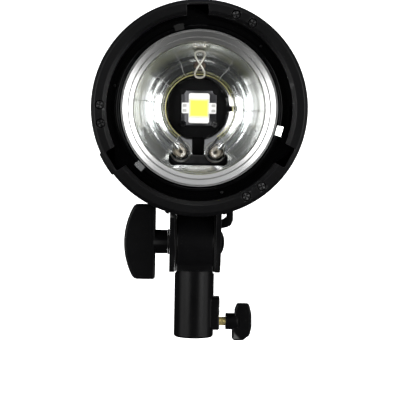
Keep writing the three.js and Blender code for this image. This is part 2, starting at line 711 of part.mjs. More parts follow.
// The half-moon grip of the tilt clamp, and the collar that presses on the yoke.
function tiltKnob() {
  const { face, back, half, thick, collarR, collarEnd } = KNOB;
  const shoulder = 20; // where the crowned back meets its corners
  const crown = 4.3;
  const outline = new THREE.Shape();
  outline.moveTo(face, -half);
  outline.lineTo(face, half);
  outline.lineTo(back + crown + 5, half);
  outline.quadraticCurveTo(back + crown + 1.1, half, back + crown, shoulder);
  outline.quadraticCurveTo(back, shoulder / 2, back, 0);
  outline.quadraticCurveTo(back, -shoulder / 2, back + crown, -shoulder);
  outline.quadraticCurveTo(back + crown + 1.1, -half, back + crown + 5, -half);
  const grip = slabY(outline, [-thick / 2, thick / 2], 8);
  const rounded = grip.intersect(
    alongX(turned([[0, back - 1], [half * 1.4, back - 1], [half + 0.5, face + 1], [0, face + 1]], 40)),
  );
  const collar = alongX(disc(collarR, [face - 1, collarEnd], 24));
  return cut(
    join(rounded, collar),
    alongX(disc(INSERT.r + GAP, [INSERT.to - GAP, -10], 24)),
    alongX(disc(BOLT_R + GAP, [-34, -10], 20)),
  );
}

const tiltInsert = () => washer(INSERT.r, BOLT_R + GAP, [INSERT.to, INSERT.from], 24);

// The cranked lever on the right-hand ear, which locks the foot in the body's rail.
function railLever() {
  const outline = new THREE.Shape();
  const foot = YOKE_OUTER + 0.4;
  const outside = foot + 7.2;
  outline.moveTo(foot, -4);
  outline.lineTo(foot + 3.8, -3);
  outline.lineTo(outside - 1.4, -1.7);
  outline.quadraticCurveTo(outside, -0.8, outside, 1.4);
  outline.lineTo(outside, 12.6);
  outline.lineTo(outside - 4, 12.6);
  outline.lineTo(outside - 4, 3.2);
  outline.lineTo(foot, 0.9);
  const arm = cut(
    slabY(outline, [-LEVER.half, LEVER.half], 4),
    alongX(disc(LEVER.screwR + GAP, [0, 40], 12)),
    alongX(disc(LEVER.headR + GAP, [LEVER.headX - GAP, 40], 16)),
  );
  return at(arm, 0, 0, LEVER.z);
}

function leverScrew() {
  const { screwR, headR, headX, z } = LEVER;
  const start = YOKE_INNER + 0.1;
  const shape = turned([[0, start], [screwR, start], [screwR, headX], [headR, headX], [headR, headX + 1.4],
    [0, headX + 1.8]], 14);
  return at(alongX(shape), 0, 0, z);
}

// ---- Stand adapter ------------------------------------------------------------------------------------------------
const BOSS = { x: 16.1, halfY: 6.5, from: 4.7, to: 25.5 };
const THREAD_R = 4.4;

function standSocket() {
  const chamfer = 1.4;
  const sleeve = alongZ(
    turned([[0, 0], [SLEEVE_R - chamfer, 0], [SLEEVE_R, chamfer], [SLEEVE_R, PIVOT_Z], [0, PIVOT_Z]], 40),
  );
  const end = BARREL_HALF;
  const besideBarrel = (side) =>
    block(side < 0 ? [-30, -end] : [end, 30], [-30, 30], [PIVOT_Z - BARREL_R - 1.2, PIVOT_Z + 1]);
  const barrel = at(
    alongX(turned([[0, -end], [BARREL_R - 1, -end], [BARREL_R, -end + 1], [BARREL_R, end - 1], [BARREL_R - 1, end],
      [0, end]], 40)),
    0, 0, PIVOT_Z,
  );
  const boss = slabX(roundedRect(-BOSS.halfY, BOSS.halfY, BOSS.from, BOSS.to, 2.5), [SOCKET_R + 1, BOSS.x], 4);
  return cut(
    join(cut(sleeve, besideBarrel(-1), besideBarrel(1)), barrel, boss),
    alongZ(disc(SOCKET_R, [-1, SOCKET_DEPTH], 40)),
    at(alongX(disc(BOLT_R + GAP, [-30, 30], 20)), 0, 0, PIVOT_Z),
    at(alongX(disc(LOCK_R + GAP, [0, 30], 20)), 0, 0, LOCK_Z),
    at(alongX(disc(THREAD_R + GAP, [11, 30], 20)), 0, 0, LOCK_Z),
  );
}

const threadInsert = () => at(washer(THREAD_R, LOCK_R + GAP, [11.2, BOSS.x + 0.3], 20), 0, 0, LOCK_Z);
const frictionWasher = (side) => {
  const near = BARREL_HALF + 0.1;
  const far = YOKE_INNER - 0.1;
  return at(washer(BARREL_R - 1.5, BOLT_R + GAP, side < 0 ? [-far, -near] : [near, far]), 0, 0, PIVOT_Z);
};

const HUB = { from: 19.4, to: 26.4, r: 5.2 };
const WING = { inner: 24.2, outer: 36.6, low: -11.8, high: 11.4 };

function lockScrew() {
  const tip = SOCKET_R + 0.2;
  const shape = turned([[0, tip], [LOCK_R - 0.8, tip], [LOCK_R, tip + 0.8], [LOCK_R, 30], [0, 30]], 20);
  return at(alongX(shape), 0, 0, LOCK_Z);
}

// The small wing knob of the locking screw. One wing is cut back more than the other, as a finger rest.
function lockKnob() {
  const outline = new THREE.Shape();
  const { inner, outer, low, high } = WING;
  outline.moveTo(inner, -3.5);
  outline.lineTo(inner, low + 1.6);
  outline.quadraticCurveTo(inner + 0.2, low, inner + 1.8, low);
  outline.lineTo(inner + 7, low);
  outline.quadraticCurveTo(outer, low + 3.4, outer, -1);
  outline.quadraticCurveTo(outer, 5, outer - 1, high - 1.6);
  outline.quadraticCurveTo(outer - 1.6, high, outer - 3.2, high);
  outline.lineTo(inner + 3.6, high);
  outline.quadraticCurveTo(inner + 2.2, high, inner + 1.7, high - 2.4);
  outline.lineTo(inner + 1.4, 4);
  const wing = slabY(outline, [-3.6, 3.6], 5);
  const hub = alongX(disc(HUB.r, [HUB.from, HUB.to + 2], 24));
  const shaft = alongX(disc(LOCK_R + GAP, [0, 30 + GAP], 20));
  return at(cut(join(hub, wing), shaft), 0, 0, LOCK_Z);
}

// ---- Assembly -----------------------------------------------------------------------------------------------------
const head = new THREE.Group();
head.position.set(0, FACE_Y, HEAD_AXIS_Z);
head.add(
  piece("mount_ring", mountRing(), MATTE_BLACK),
  ...screwTurns.map((turn, i) => piece(`ring_screw_${i + 1}`, ringScrew(turn), MATTE_BLACK)),
  piece("mount_base", mountBase(), GLOSS_BLACK),
  ...lugTurns.map((turn, i) => piece(`collar_spring_${i + 1}`, collarSpring(turn + SPRING_TURN), STEEL)),
  piece("release_slider", releaseSlider(), MATTE_BLACK),
  piece("lock_pin", lockPin(), STEEL),
  piece("reflector", reflector(), POLISHED),
  piece("lamp_plate", lampPlate(), MATTE_BLACK),
  piece("led_base", ledBase(), STEEL),
  piece("led_frame", ledFrame(), WHITE_PLASTIC),
  piece("led_phosphor", ledPhosphor(), PHOSPHOR),
  piece("flash_tube", flashTube(), GLASS),
  piece("tube_clip", tubeClip(), STEEL),
  piece("tube_post", tubePost(), CERAMIC),
  piece("tube_socket_left", tubeSocket(-1), CERAMIC),
  piece("tube_socket_right", tubeSocket(1), CERAMIC),
  piece("upper_shell", upperShell(), MATTE_BLACK),
  piece("lower_shell", lowerShell(), MATTE_BLACK),
  piece("rear_panel", rearPanel(), MATTE_BLACK),
  piece("display_window", displayWindow(), GLASS),
  piece("display_module", displayModule(), SLEEVING),
  piece("dial_knob", dialKnob(), MATTE_BLACK),
  piece("dial_encoder", dialEncoder(), STEEL),
  ...Object.entries(BUTTONS).map(([name, x]) => piece(name, button(x), RUBBER)),
  piece("power_switch", powerSwitch(), GLOSS_BLACK),
  piece("sync_jack", syncJack(), STEEL),
  piece("port_cover", portCover(), RUBBER),
  piece("slave_sensor", slaveSensor(), GLOSS_BLACK),
  piece("battery_pack", batteryPack(), MATTE_BLACK),
  piece("battery_latch", batteryLatch(), GLOSS_BLACK),
  piece("main_board", mainBoard(), BOARD),
  piece("capacitor_left", capacitor(-1), SLEEVING),
  piece("capacitor_right", capacitor(1), SLEEVING),
  piece("charge_transformer", chargeTransformer(), STEEL),
  piece("trigger_coil", triggerCoil(), SLEEVING),
  piece("fan_frame", fanFrame(), MATTE_BLACK),
  piece("fan_rotor", fanRotor(), MATTE_BLACK),
);

const tilt = new THREE.Group();
tilt.position.set(0, 0, PIVOT_Z);
tilt.add(
  piece("tilt_yoke", tiltYoke(), CAST_BLACK),
  piece("tilt_bolt", tiltBolt(), CAST_BLACK),
  piece("tilt_washer", washer(TILT_WASHER.r, BOLT_R + GAP, [TILT_WASHER.from, TILT_WASHER.to]), STEEL),
  piece("tilt_insert", tiltInsert(), BRASS),
  piece("tilt_knob", tiltKnob(), MATTE_BLACK),
  piece("rail_lever", railLever(), MATTE_BLACK),
  piece("lever_screw", leverScrew(), STEEL),
);

const stand = new THREE.Group();
stand.add(
  piece("stand_socket", standSocket(), CAST_BLACK),
  piece("thread_insert", threadInsert(), BRASS),
  piece("friction_washer_left", frictionWasher(-1), RUBBER),
  piece("friction_washer_right", frictionWasher(1), RUBBER),
  piece("lock_screw", lockScrew(), BRASS),
  piece("lock_knob", lockKnob(), MATTE_BLACK),
);

const monolight = new THREE.Group();
monolight.add(stand, tilt, head);

export default monolight;
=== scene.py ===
"""A battery monolight strobe on its tilting stand adapter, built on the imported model's frame."""
import math

import bmesh
import bpy
from bpy.props import FloatProperty, FloatVectorProperty, IntProperty, PointerProperty
from mathutils import Matrix, Quaternion, Vector


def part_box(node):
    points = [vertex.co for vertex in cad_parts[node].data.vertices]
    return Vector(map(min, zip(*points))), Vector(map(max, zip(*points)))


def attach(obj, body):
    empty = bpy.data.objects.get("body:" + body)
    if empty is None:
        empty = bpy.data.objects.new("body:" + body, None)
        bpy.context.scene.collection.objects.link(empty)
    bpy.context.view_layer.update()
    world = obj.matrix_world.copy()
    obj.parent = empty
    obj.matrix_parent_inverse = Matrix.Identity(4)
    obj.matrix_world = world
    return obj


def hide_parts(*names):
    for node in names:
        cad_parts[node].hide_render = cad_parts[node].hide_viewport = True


bl_info = {
    "name": "Monolight Strobe",
    "version": (1, 0, 0),
    "blender": (4, 5, 0),
    "location": "3D View > Sidebar > Monolight",
    "description": "Builds a monolight strobe, its bayonet mount, lamp, body and stand adapter",
    "category": "Object",
}

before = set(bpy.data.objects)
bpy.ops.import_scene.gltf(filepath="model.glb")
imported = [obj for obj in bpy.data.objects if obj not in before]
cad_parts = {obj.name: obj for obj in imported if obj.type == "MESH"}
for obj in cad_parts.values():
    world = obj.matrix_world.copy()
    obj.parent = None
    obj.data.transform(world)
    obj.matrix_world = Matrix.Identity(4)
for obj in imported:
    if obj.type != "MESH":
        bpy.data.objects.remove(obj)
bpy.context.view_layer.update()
MM = 0.001


def box_mm(node):
    """The lowest and highest corner of a CAD node, in millimetres."""
    low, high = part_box(node)
    return Vector(low) / MM, Vector(high) / MM


ring_low, ring_high = box_mm("mount_ring")
pad_low, pad_high = box_mm("friction_washer_left")
FACE_Y = ring_low.y  # front face of the mount ring
AXIS_Z = (ring_low.z + ring_high.z) / 2  # height of the light axis
PIVOT_Z = (pad_low.z + pad_high.z) / 2  # height of the tilt bolt
PIVOT_DEEP = -FACE_Y  # the tilt bolt's distance behind the face
BELOW = PIVOT_Z - AXIS_Z  # the tilt bolt's height from the light axis
EAR_R = PIVOT_Z - box_mm("tilt_yoke")[0].z
LAMP_DEEP = box_mm("lamp_plate")[0].y - FACE_Y  # front of the lamp plate, behind the ring's face

# ---- Shapes: each is a bmesh in millimetres ------------------------------------------------------


def rounded(corners, steps=4, closed=True):
    """An outline from corners (x, y) or (x, y, radius), with each radius turned into an arc."""
    points = []
    count = len(corners)
    for i, corner in enumerate(corners):
        here = Vector(corner[:2])
        at_end = not closed and i in (0, count - 1)
        if len(corner) < 3 or at_end:
            points.append(here)
            continue
        back = (Vector(corners[i - 1][:2]) - here).normalized()
        ahead = (Vector(corners[(i + 1) % count][:2]) - here).normalized()
        half = back.angle(ahead) / 2
        reach = corner[2] / math.tan(half)
        centre = here + (back + ahead).normalized() * corner[2] / math.sin(half)
        first, last = here + back * reach - centre, here + ahead * reach - centre
        sweep = math.atan2(first.x * last.y - first.y * last.x, first.dot(last))
        points += [centre + Matrix.Rotation(sweep * k / steps, 2) @ first for k in range(steps + 1)]
    return [tuple(point) for point in points]


def arc(x, y, radius, start, end, steps=16):
    """Points on a circle, with angles in degrees from the first axis towards the second."""
    turns = [math.radians(start + (end - start) * i / steps) for i in range(steps + 1)]
    return [(x + radius * math.cos(t), y + radius * math.sin(t)) for t in turns]


def lay(axis, a, b, along):
    """A flat point (a, b) and a distance along an axis, as a point in space."""
    return {"X": (along, a, b), "Y": (a, along, b), "Z": (a, b, along)}[axis]


def lathe(outline, axis="Y", sides=160):
    """A closed outline of (radius, height) turned about an axis. One that ends on the axis closes there."""
    shape = bmesh.new()
    rings = []
    for radius, height in outline:
        if radius < 1e-6:
            rings.append([shape.verts.new(lay(axis, 0, 0, height))] * sides)
            continue
        turns = [math.tau * i / sides for i in range(sides)]
        rings.append([shape.verts.new(lay(axis, radius * math.sin(t), radius * math.cos(t), height))
                      for t in turns])
    on_axis = outline[0][0] < 1e-6
    for i in range(len(rings) - (1 if on_axis else 0)):
        near, far = rings[i], rings[(i + 1) % len(rings)]
        for k in range(sides):
            corners = [near[k], near[(k + 1) % sides], far[(k + 1) % sides], far[k]]
            corners = list(dict.fromkeys(corners))
            if len(corners) > 2:
                shape.faces.new(corners)
    bmesh.ops.recalc_face_normals(shape, faces=shape.faces)
    return shape


def slab(outline, span, axis="Y", edge=0.0, steps=3):
    """A flat outline given a thickness along an axis, with its outer edges rounded by edge."""
    shape = bmesh.new()
    ends = [[shape.verts.new(lay(axis, a, b, along)) for a, b in outline] for along in span]
    count = len(outline)
    for end in ends:
        shape.faces.new(end)
    for i in range(count):
        j = (i + 1) % count
        shape.faces.new([ends[0][i], ends[0][j], ends[1][j], ends[1][i]])
    bmesh.ops.recalc_face_normals(shape, faces=shape.faces)
    if edge:
        shape.faces.ensure_lookup_table()
        rims = list({e for face in shape.faces[:2] for e in face.edges})
        bmesh.ops.bevel(shape, geom=rims, offset=edge, segments=steps, profile=0.5, affect="EDGES",
                        clamp_overlap=True)
    return shape


def block(x, y, z, edge=0.0, corner=0.0):
    """A box between two values on each axis, with rounded edges."""
    radius = [corner] if corner else []
    corners = [(x[0], z[0], *radius), (x[1], z[0], *radius), (x[1], z[1], *radius), (x[0], z[1], *radius)]
    return slab(rounded(corners) if corner else corners, y, "Y", edge)


def pipe(path, radius, sides=20, bore=0.0, cap=True):
    """A round bar along a path of points, or a tube with a bore and closed, flat ends."""
    shape = bmesh.new()
    path = [Vector(p) for p in path]
    walls = [radius, bore] if bore else [radius]
    normal = (path[1] - path[0]).orthogonal().normalized()
    rings = []
    for i, point in enumerate(path):
        ahead = (path[min(i + 1, len(path) - 1)] - path[max(i - 1, 0)]).normalized()
        normal = (normal - ahead * normal.dot(ahead)).normalized()
        side = ahead.cross(normal)
        turns = [math.tau * k / sides for k in range(sides)]
        spokes = [normal * math.cos(t) + side * math.sin(t) for t in turns]
        rings.append([[shape.verts.new(point + s * r) for s in spokes] for r in walls])
    for near, far in zip(rings, rings[1:]):
        for a, b in zip(near, far):
            for k in range(sides):
                shape.faces.new([a[k], a[(k + 1) % sides], b[(k + 1) % sides], b[k]])
    for end in (rings[0], rings[-1]):
        if bore:
            for k in range(sides):
                shape.faces.new([end[0][k], end[0][(k + 1) % sides], end[1][(k + 1) % sides], end[1][k]])
        else:
            shape.faces.new(end[0])
    bmesh.ops.recalc_face_normals(shape, faces=shape.faces)
    return shape


def moved(shape, x=0.0, y=0.0, z=0.0):
    bmesh.ops.translate(shape, verts=shape.verts, vec=(x, y, z))
    return shape


def spun(shape, degrees, axis="Y"):
    """A shape turned about an axis through the origin. About Y, positive is clockwise from the front."""
    bmesh.ops.transform(shape, matrix=Matrix.Rotation(math.radians(degrees), 4, axis), verts=shape.verts)
    return shape


def head(shape):
    """Moves a shape made about the light axis, with depth behind the ring's face, into place."""
    return moved(shape, 0, FACE_Y, AXIS_Z)


def tilt(shape):
    """Moves a shape made about the tilt bolt into place."""
    return moved(shape, 0, 0, PIVOT_Z)


def on_circle(radius, turn):
    """The x and z of a place on a circle, clockwise from the top."""
    return radius * math.sin(math.radians(turn)), radius * math.cos(math.radians(turn))


def sector(inner, outer, turns, span, edge=0.0, steps=24):
    """Part of a ring between two turns, clockwise from the top."""
    start, end = 90 - turns[1], 90 - turns[0]
    return slab(arc(0, 0, outer, start, end, steps) + arc(0, 0, inner, end, start, steps), span, "Y", edge)


def gather(*shapes):
    """Several shapes in one bmesh, each still a body of its own."""
    whole = bmesh.new()
    for shape in shapes:
        mesh = bpy.data.meshes.new("part")
        shape.to_mesh(mesh)
        whole.from_mesh(mesh)
        bpy.data.meshes.remove(mesh)
        shape.free()
    return whole


def as_object(name, shape):
    mesh = bpy.data.meshes.new(name)
    shape.to_mesh(mesh)
    shape.free()
    made = bpy.data.objects.new(name, mesh)
    bpy.context.scene.collection.objects.link(made)
    return made


def as_mesh(made):
    """The object's mesh with its modifiers applied. The object itself goes."""
    bpy.context.view_layer.update()
    mesh = bpy.data.meshes.new_from_object(made.evaluated_get(bpy.context.evaluated_depsgraph_get()))
    bpy.data.objects.remove(made)
    return mesh


def combine(shape, tool, operation="DIFFERENCE"):
    """A closed shape cut by, joined to or limited to another."""
    target, other = as_object("target", shape), as_object("tool", tool)
    modifier = target.modifiers.new("combine", "BOOLEAN")
    modifier.operation, modifier.solver, modifier.object = operation, "EXACT", other
    mesh = as_mesh(target)
    bpy.data.objects.remove(other)
    result = bmesh.new()
    result.from_mesh(mesh)
    bpy.data.meshes.remove(mesh)
    return result


def cut(shape, *tools):
    return combine(shape, gather(*tools))


def join(shape, *others):
    for other in others:
        shape = combine(shape, other, "UNION")
    return shape


# ---- Node trees ----------------------------------------------------------------------------------


class Value:
    """One output socket of a node tree, with the arithmetic that materials use."""

    def __init__(self, graph, socket):
        self.graph, self.socket = graph, socket

    def maths(self, operation, *values):
        return self.graph.add("ShaderNodeMath", {"operation": operation}, dict(enumerate(values)))

    def __add__(self, other):
        return self.maths("ADD", self, other)

    def __sub__(self, other):
        return self.maths("SUBTRACT", self, other)

    def __rsub__(self, other):
        return self.maths("SUBTRACT", other, self)

    def __mul__(self, other):
        return self.maths("MULTIPLY", self, other)

    def __truediv__(self, other):
        return self.maths("DIVIDE", self, other)

    __radd__, __rmul__ = __add__, __mul__

    def part(self, name):
        """Another output of the same node."""
        return Value(self.graph, self.socket.node.outputs[name])

    def step(self, low, high):
        """0 below low and 1 above high, with a smooth change between them."""
        limits = {"Value": self, "From Min": low, "From Max": high}
        return self.graph.add("ShaderNodeMapRange", {"interpolation_type": "SMOOTHSTEP"}, limits)


class Graph:
    """Adds nodes to a tree."""

    def __init__(self, tree):
        self.tree = tree

    def add(self, kind, settings=None, inputs=None, out=0):
        """A node of a type, with its settings, then the values or links of its inputs."""
        node = self.tree.nodes.new(kind)
        for key, value in (settings or {}).items():
            setattr(node, key, value)
        for key, value in (inputs or {}).items():
            if isinstance(value, Value):
                self.tree.links.new(value.socket, node.inputs[key])
            else:
                node.inputs[key].default_value = value
        return Value(self, node.outputs[out]) if node.outputs else node

    def mix(self, share, first, second):
        """Colours mixed by a share from 0 to 1."""
        return self.add("ShaderNodeMix", {"data_type": "RGBA"}, {0: share, 6: first, 7: second}, out=2)

    def noise(self, place, size, detail=2.0):
        """Noise from 0 to 1 whose lumps are about size millimetres across."""
        return self.add("ShaderNodeTexNoise", inputs={"Vector": place, "Scale": 1 / (size * MM),
                                                      "Detail": detail})


def rgba(colour):
    return (*colour, 1.0)


def tone(colour, factor):
    return rgba([min(c * factor, 1.0) for c in colour])


def surface(name, **fixed):
    """A new material. Returns it, its graph, Object coordinates and its shader's inputs."""
    material = bpy.data.materials.new(name)
    material.use_nodes = True
    graph = Graph(material.node_tree)
    shader = material.node_tree.nodes["Principled BSDF"]
    for key, value in fixed.items():
        shader.inputs[key.replace("_", " ")].default_value = value
    return material, graph, graph.add("ShaderNodeTexCoord", out="Object"), shader.inputs


def feed(graph, inputs, name, value):
    graph.tree.links.new(value.socket, inputs[name])


def coated(name, colour, rough, metal=0.0, grain=0.3, relief=0.01, uneven=0.12, wear=0.0, **fixed):
    """Moulded, painted or plated: a fine grain, uneven gloss and tone, dust specks and lighter worn edges."""
    material, graph, place, inputs = surface(name, Metallic=metal, **fixed)
    fine = graph.noise(place, grain, 3.0)
    broad = graph.noise(place, 18.0, 4.0)
    shade = graph.mix(broad.step(0.3, 0.7), tone(colour, 0.86), tone(colour, 1.16))
    specks = graph.noise(place, 0.55, 1.0).step(0.72, 0.8)
    shade = graph.mix(specks * 0.05, shade, rgba((0.32, 0.31, 0.3)))
    if wear:
        edge = graph.add("ShaderNodeNewGeometry", out="Pointiness").step(0.53, 0.62)
        shade = graph.mix(edge * broad.step(0.35, 0.6) * wear, shade, rgba((0.3, 0.3, 0.3)))
    feed(graph, inputs, "Base Color", shade)
    feed(graph, inputs, "Roughness", rough + (broad - 0.5) * uneven + (fine - 0.5) * uneven * 0.6)
    bump = {"Height": fine, "Distance": relief * MM, "Strength": 0.8}
    feed(graph, inputs, "Normal", graph.add("ShaderNodeBump", inputs=bump))
    return material


def spun_metal(name, colour, rough, pitch=0.25, relief=0.003, rim=None, **fixed):
    """Metal turned about the light axis: fine concentric lines, and a satin rim past a radius."""
    material, graph, place, inputs = surface(name, Metallic=1.0, **fixed)
    centred = graph.add("ShaderNodeVectorMath", {"operation": "SUBTRACT"}, {0: place, 1: (0, 0, AXIS_Z * MM)})
    flat = graph.add("ShaderNodeVectorMath", {"operation": "MULTIPLY"}, {0: centred, 1: (1, 0, 1)})
    radius = graph.add("ShaderNodeVectorMath", {"operation": "LENGTH"}, {0: flat}, out="Value")
    along = graph.add("ShaderNodeCombineXYZ", inputs={"X": radius, "Y": 0.0, "Z": 0.0})
    lines = graph.noise(along, pitch, 3.0)
    broad = graph.noise(place, 16.0, 3.0)
    gloss = rough + (lines - 0.5) * 0.1 + (broad - 0.5) * 0.06
    shade = graph.mix(broad.step(0.3, 0.7), tone(colour, 0.93), tone(colour, 1.04))
    if rim:
        outside = radius.step((rim - 0.3) * MM, rim * MM)
        gloss = gloss + outside * 0.17
        shade = graph.mix(outside * 0.5, shade, tone(colour, 0.72))
    feed(graph, inputs, "Base Color", shade)
    feed(graph, inputs, "Roughness", gloss)
    bump = {"Height": lines, "Distance": relief * MM, "Strength": 0.6}
    feed(graph, inputs, "Normal", graph.add("ShaderNodeBump", inputs=bump))
    return material


def quartz():
    """Clear tube glass, with faint streaks and a smoky bloom."""
    fixed = {"Transmission_Weight": 1.0, "IOR": 1.46}
    material, graph, place, inputs = surface("Tube glass", **fixed)
    bloom = graph.noise(place, 7.0, 4.0)
    feed(graph, inputs, "Roughness", bloom.step(0.45, 0.9) * 0.06 + 0.015)
    feed(graph, inputs, "Base Color", graph.mix(bloom, rgba((0.93, 0.96, 0.97)), rgba((0.99, 0.99, 0.98))))
    return material


def phosphor(colour):
    """The silicone over the LED dies: grainy, pale at its edge, with the dies as faint darker squares."""
    material, graph, place, inputs = surface("Phosphor", Subsurface_Weight=0.15,
                                             Subsurface_Radius=(0.4, 0.4, 0.1))
    inputs["Subsurface Scale"].default_value = 0.001
    fine = graph.noise(place, 0.12, 3.0)
    across = graph.add("ShaderNodeSeparateXYZ", inputs={0: place}, out="X")
    pitch = math.tau / (1.75 * MM)
    columns = (across * pitch).maths("COSINE", across * pitch)
    rise = (across.part("Z") - AXIS_Z * MM) * pitch
    dies = (columns * rise.maths("COSINE", rise)).step(-0.1, 0.6)
    silicone = graph.mix(dies * 0.3 + fine * 0.15, rgba(colour), tone(colour, 0.82))
    up = (across.part("Z") - AXIS_Z * MM).maths("ABSOLUTE", across.part("Z") - AXIS_Z * MM) * 1.1
    reach = across.maths("ABSOLUTE", across)
    edge = reach.maths("MAXIMUM", reach, up).step(4.4 * MM, 6.2 * MM)
    feed(graph, inputs, "Base Color", graph.mix(edge, silicone, rgba((0.78, 0.79, 0.66))))
    feed(graph, inputs, "Roughness", 0.45 + fine * 0.2)
    bump = {"Height": fine, "Distance": 0.02 * MM, "Strength": 0.6}
    feed(graph, inputs, "Normal", graph.add("ShaderNodeBump", inputs=bump))
    return material


def screen():
    """A dark display behind its window, with plain level bars that glow a little."""
    material, graph, place, inputs = surface("Display", Emission_Strength=0.9)
    low, high = (c * MM for c in box_mm("display_window"))
    across = graph.add("ShaderNodeSeparateXYZ", inputs={0: place}, out="X")
    share = (across - low.x) / (high.x - low.x)
    height = (across.part("Z") - low.z) / (high.z - low.z)
    columns = share * 15.0
    column = columns.maths("FRACT", columns)
    bars = column.step(0.12, 0.2) * (1 - column.step(0.78, 0.86))
    inside = share.step(0.12, 0.13) * (1 - share.step(0.87, 0.88))
    level = height.step(0.18, 0.2) * (1 - (height - share * 0.5).step(0.2, 0.22))
    line = height.step(0.78, 0.79) * (1 - height.step(0.81, 0.82))
    lit = inside * (bars * level + line)
    feed(graph, inputs, "Base Color", graph.mix(lit, rgba((0.01, 0.014, 0.018)), rgba((0.5, 0.75, 0.85))))
    feed(graph, inputs, "Emission Color", graph.mix(lit, rgba((0.004, 0.01, 0.014)), rgba((0.35, 0.7, 0.85))))
    feed(graph, inputs, "Roughness", graph.noise(place, 12.0) * 0.1 + 0.08)
    return material


DULL = {"Specular_IOR_Level": 0.12}  # the blacks mirror little of the pale room
FINISHES = {
    "moulded": lambda look: coated("Moulded black", look.plastic, 0.42, grain=0.35, relief=0.02, wear=0.12,
                                   **DULL),
    "grip": lambda look: coated("Satin grip", look.plastic, 0.32, grain=0.5, relief=0.012, wear=0.2, **DULL),
    "gloss": lambda look: coated("Gloss black", look.gloss, 0.14, grain=0.8, relief=0.002, uneven=0.05,
                                 **DULL),
    "ring": lambda look: coated("Satin ring", look.plastic, 0.38, grain=0.25, relief=0.008, wear=0.2,
                                uneven=0.08,
                                Specular_IOR_Level=0.2),
    "powder": lambda look: coated("Powder coat", look.coat, 0.32, grain=0.6, relief=0.03, wear=0.25, **DULL),
    "plate": lambda look: coated("Painted plate", look.coat, 0.3, grain=0.4, relief=0.012, wear=0.35, **DULL),
    "bowl": lambda look: spun_metal("Polished bowl", look.bowl, 0.16, pitch=0.5, relief=0.0008, rim=37.9),
    "board": lambda look: spun_metal("Grey board", (0.2, 0.2, 0.21), 0.3),
    "tin": lambda look: coated("Tinned pad", (0.42, 0.42, 0.4), 0.6, metal=0.3, grain=0.2, relief=0.01),
    "leaf": lambda look: coated("Spring leaf", (0.78, 0.78, 0.76), 0.1, metal=1.0, grain=0.2, relief=0.001,
                                uneven=0.04),
    "zinc": lambda look: coated("Black zinc", (0.03, 0.03, 0.03), 0.4, metal=1.0, grain=0.2, relief=0.003),
    "steel": lambda look: coated("Plated steel", (0.74, 0.74, 0.72), 0.24, metal=1.0, grain=0.2,
                                 relief=0.003, wear=0.2),
    "nickel": lambda look: coated("Bright nickel", (0.62, 0.6, 0.53), 0.35, metal=0.7, grain=0.2,
                                  relief=0.003),
    "wire": lambda look: coated("Nickel wire", (0.32, 0.32, 0.31), 0.4, metal=1.0, grain=0.2, relief=0.002),
    "lead": lambda look: coated("Lead wire", (0.5, 0.47, 0.2), 0.45, metal=0.6, grain=0.2, relief=0.002),
    "brass": lambda look: coated("Brass", look.brass, 0.34, metal=0.85, grain=0.25, relief=0.004),
    "white": lambda look: coated("White frame", (0.72, 0.72, 0.7), 0.38, grain=0.3, relief=0.004,
                                 uneven=0.08),
    "ceramic": lambda look: coated("Ceramic", (0.66, 0.56, 0.42), 0.6, grain=0.2, relief=0.01),
    "amber": lambda look: coated("Old sleeve", (0.2, 0.13, 0.09), 0.45, grain=0.3, relief=0.01),
    "rubber": lambda look: coated("Rubber", (0.006, 0.006, 0.006), 0.7, grain=0.2, relief=0.02, **DULL),
    "green": lambda look: coated("Solder mask", (0.02, 0.12, 0.05), 0.35, grain=1.2, relief=0.02),
    "blue": lambda look: coated("Shrink sleeve", (0.012, 0.03, 0.1), 0.3, grain=0.8, relief=0.01),
    "glass": lambda look: quartz(),
    "phosphor": lambda look: phosphor(look.phosphor),
    "screen": lambda look: screen(),
}
made_finishes = {}


def finish(name):
    if name not in made_finishes:
        made_finishes[name] = FINISHES[name](bpy.context.scene.monolight_colours)
    return made_finishes[name]


def complete(made, look, body, nodes, sharp):
    """Shades a plain mesh object, gives it its finish, hangs it on its body and hides the CAD nodes it stands
    for.
    """
    mesh = made.data
    mesh.polygons.foreach_set("use_smooth", [True] * len(mesh.polygons))
    mesh.set_sharp_from_angle(angle=math.radians(sharp))
    mesh.materials.clear()
    mesh.materials.append(finish(look))
    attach(made, body)
    if nodes:
        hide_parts(*nodes)
    return made


def piece(name, shape, look, body, slot, *nodes, sharp=32, bevel=0.0):
    """A finished piece from a shape in millimetres, which stands for the CAD nodes named."""
    bmesh.ops.remove_doubles(shape, verts=shape.verts, dist=1e-4)
    bmesh.ops.transform(shape, matrix=Matrix.Scale(MM, 4), verts=shape.verts)
    made = as_object(name, shape)
    if bevel:
        modifier = made.modifiers.new("edges", "BEVEL")
        modifier.width, modifier.segments, modifier.limit_method = bevel * MM, 2, "ANGLE"
        modifier.angle_limit, modifier.use_clamp_overlap = math.radians(40), False
        mesh = as_mesh(made)
        made = bpy.data.objects.new(name, mesh)
        bpy.context.scene.collection.objects.link(made)
        mesh.name = name
        made.modifiers.new("even_normals", "WEIGHTED_NORMAL").keep_sharp = True
    return complete(made, look, body, nodes, sharp)


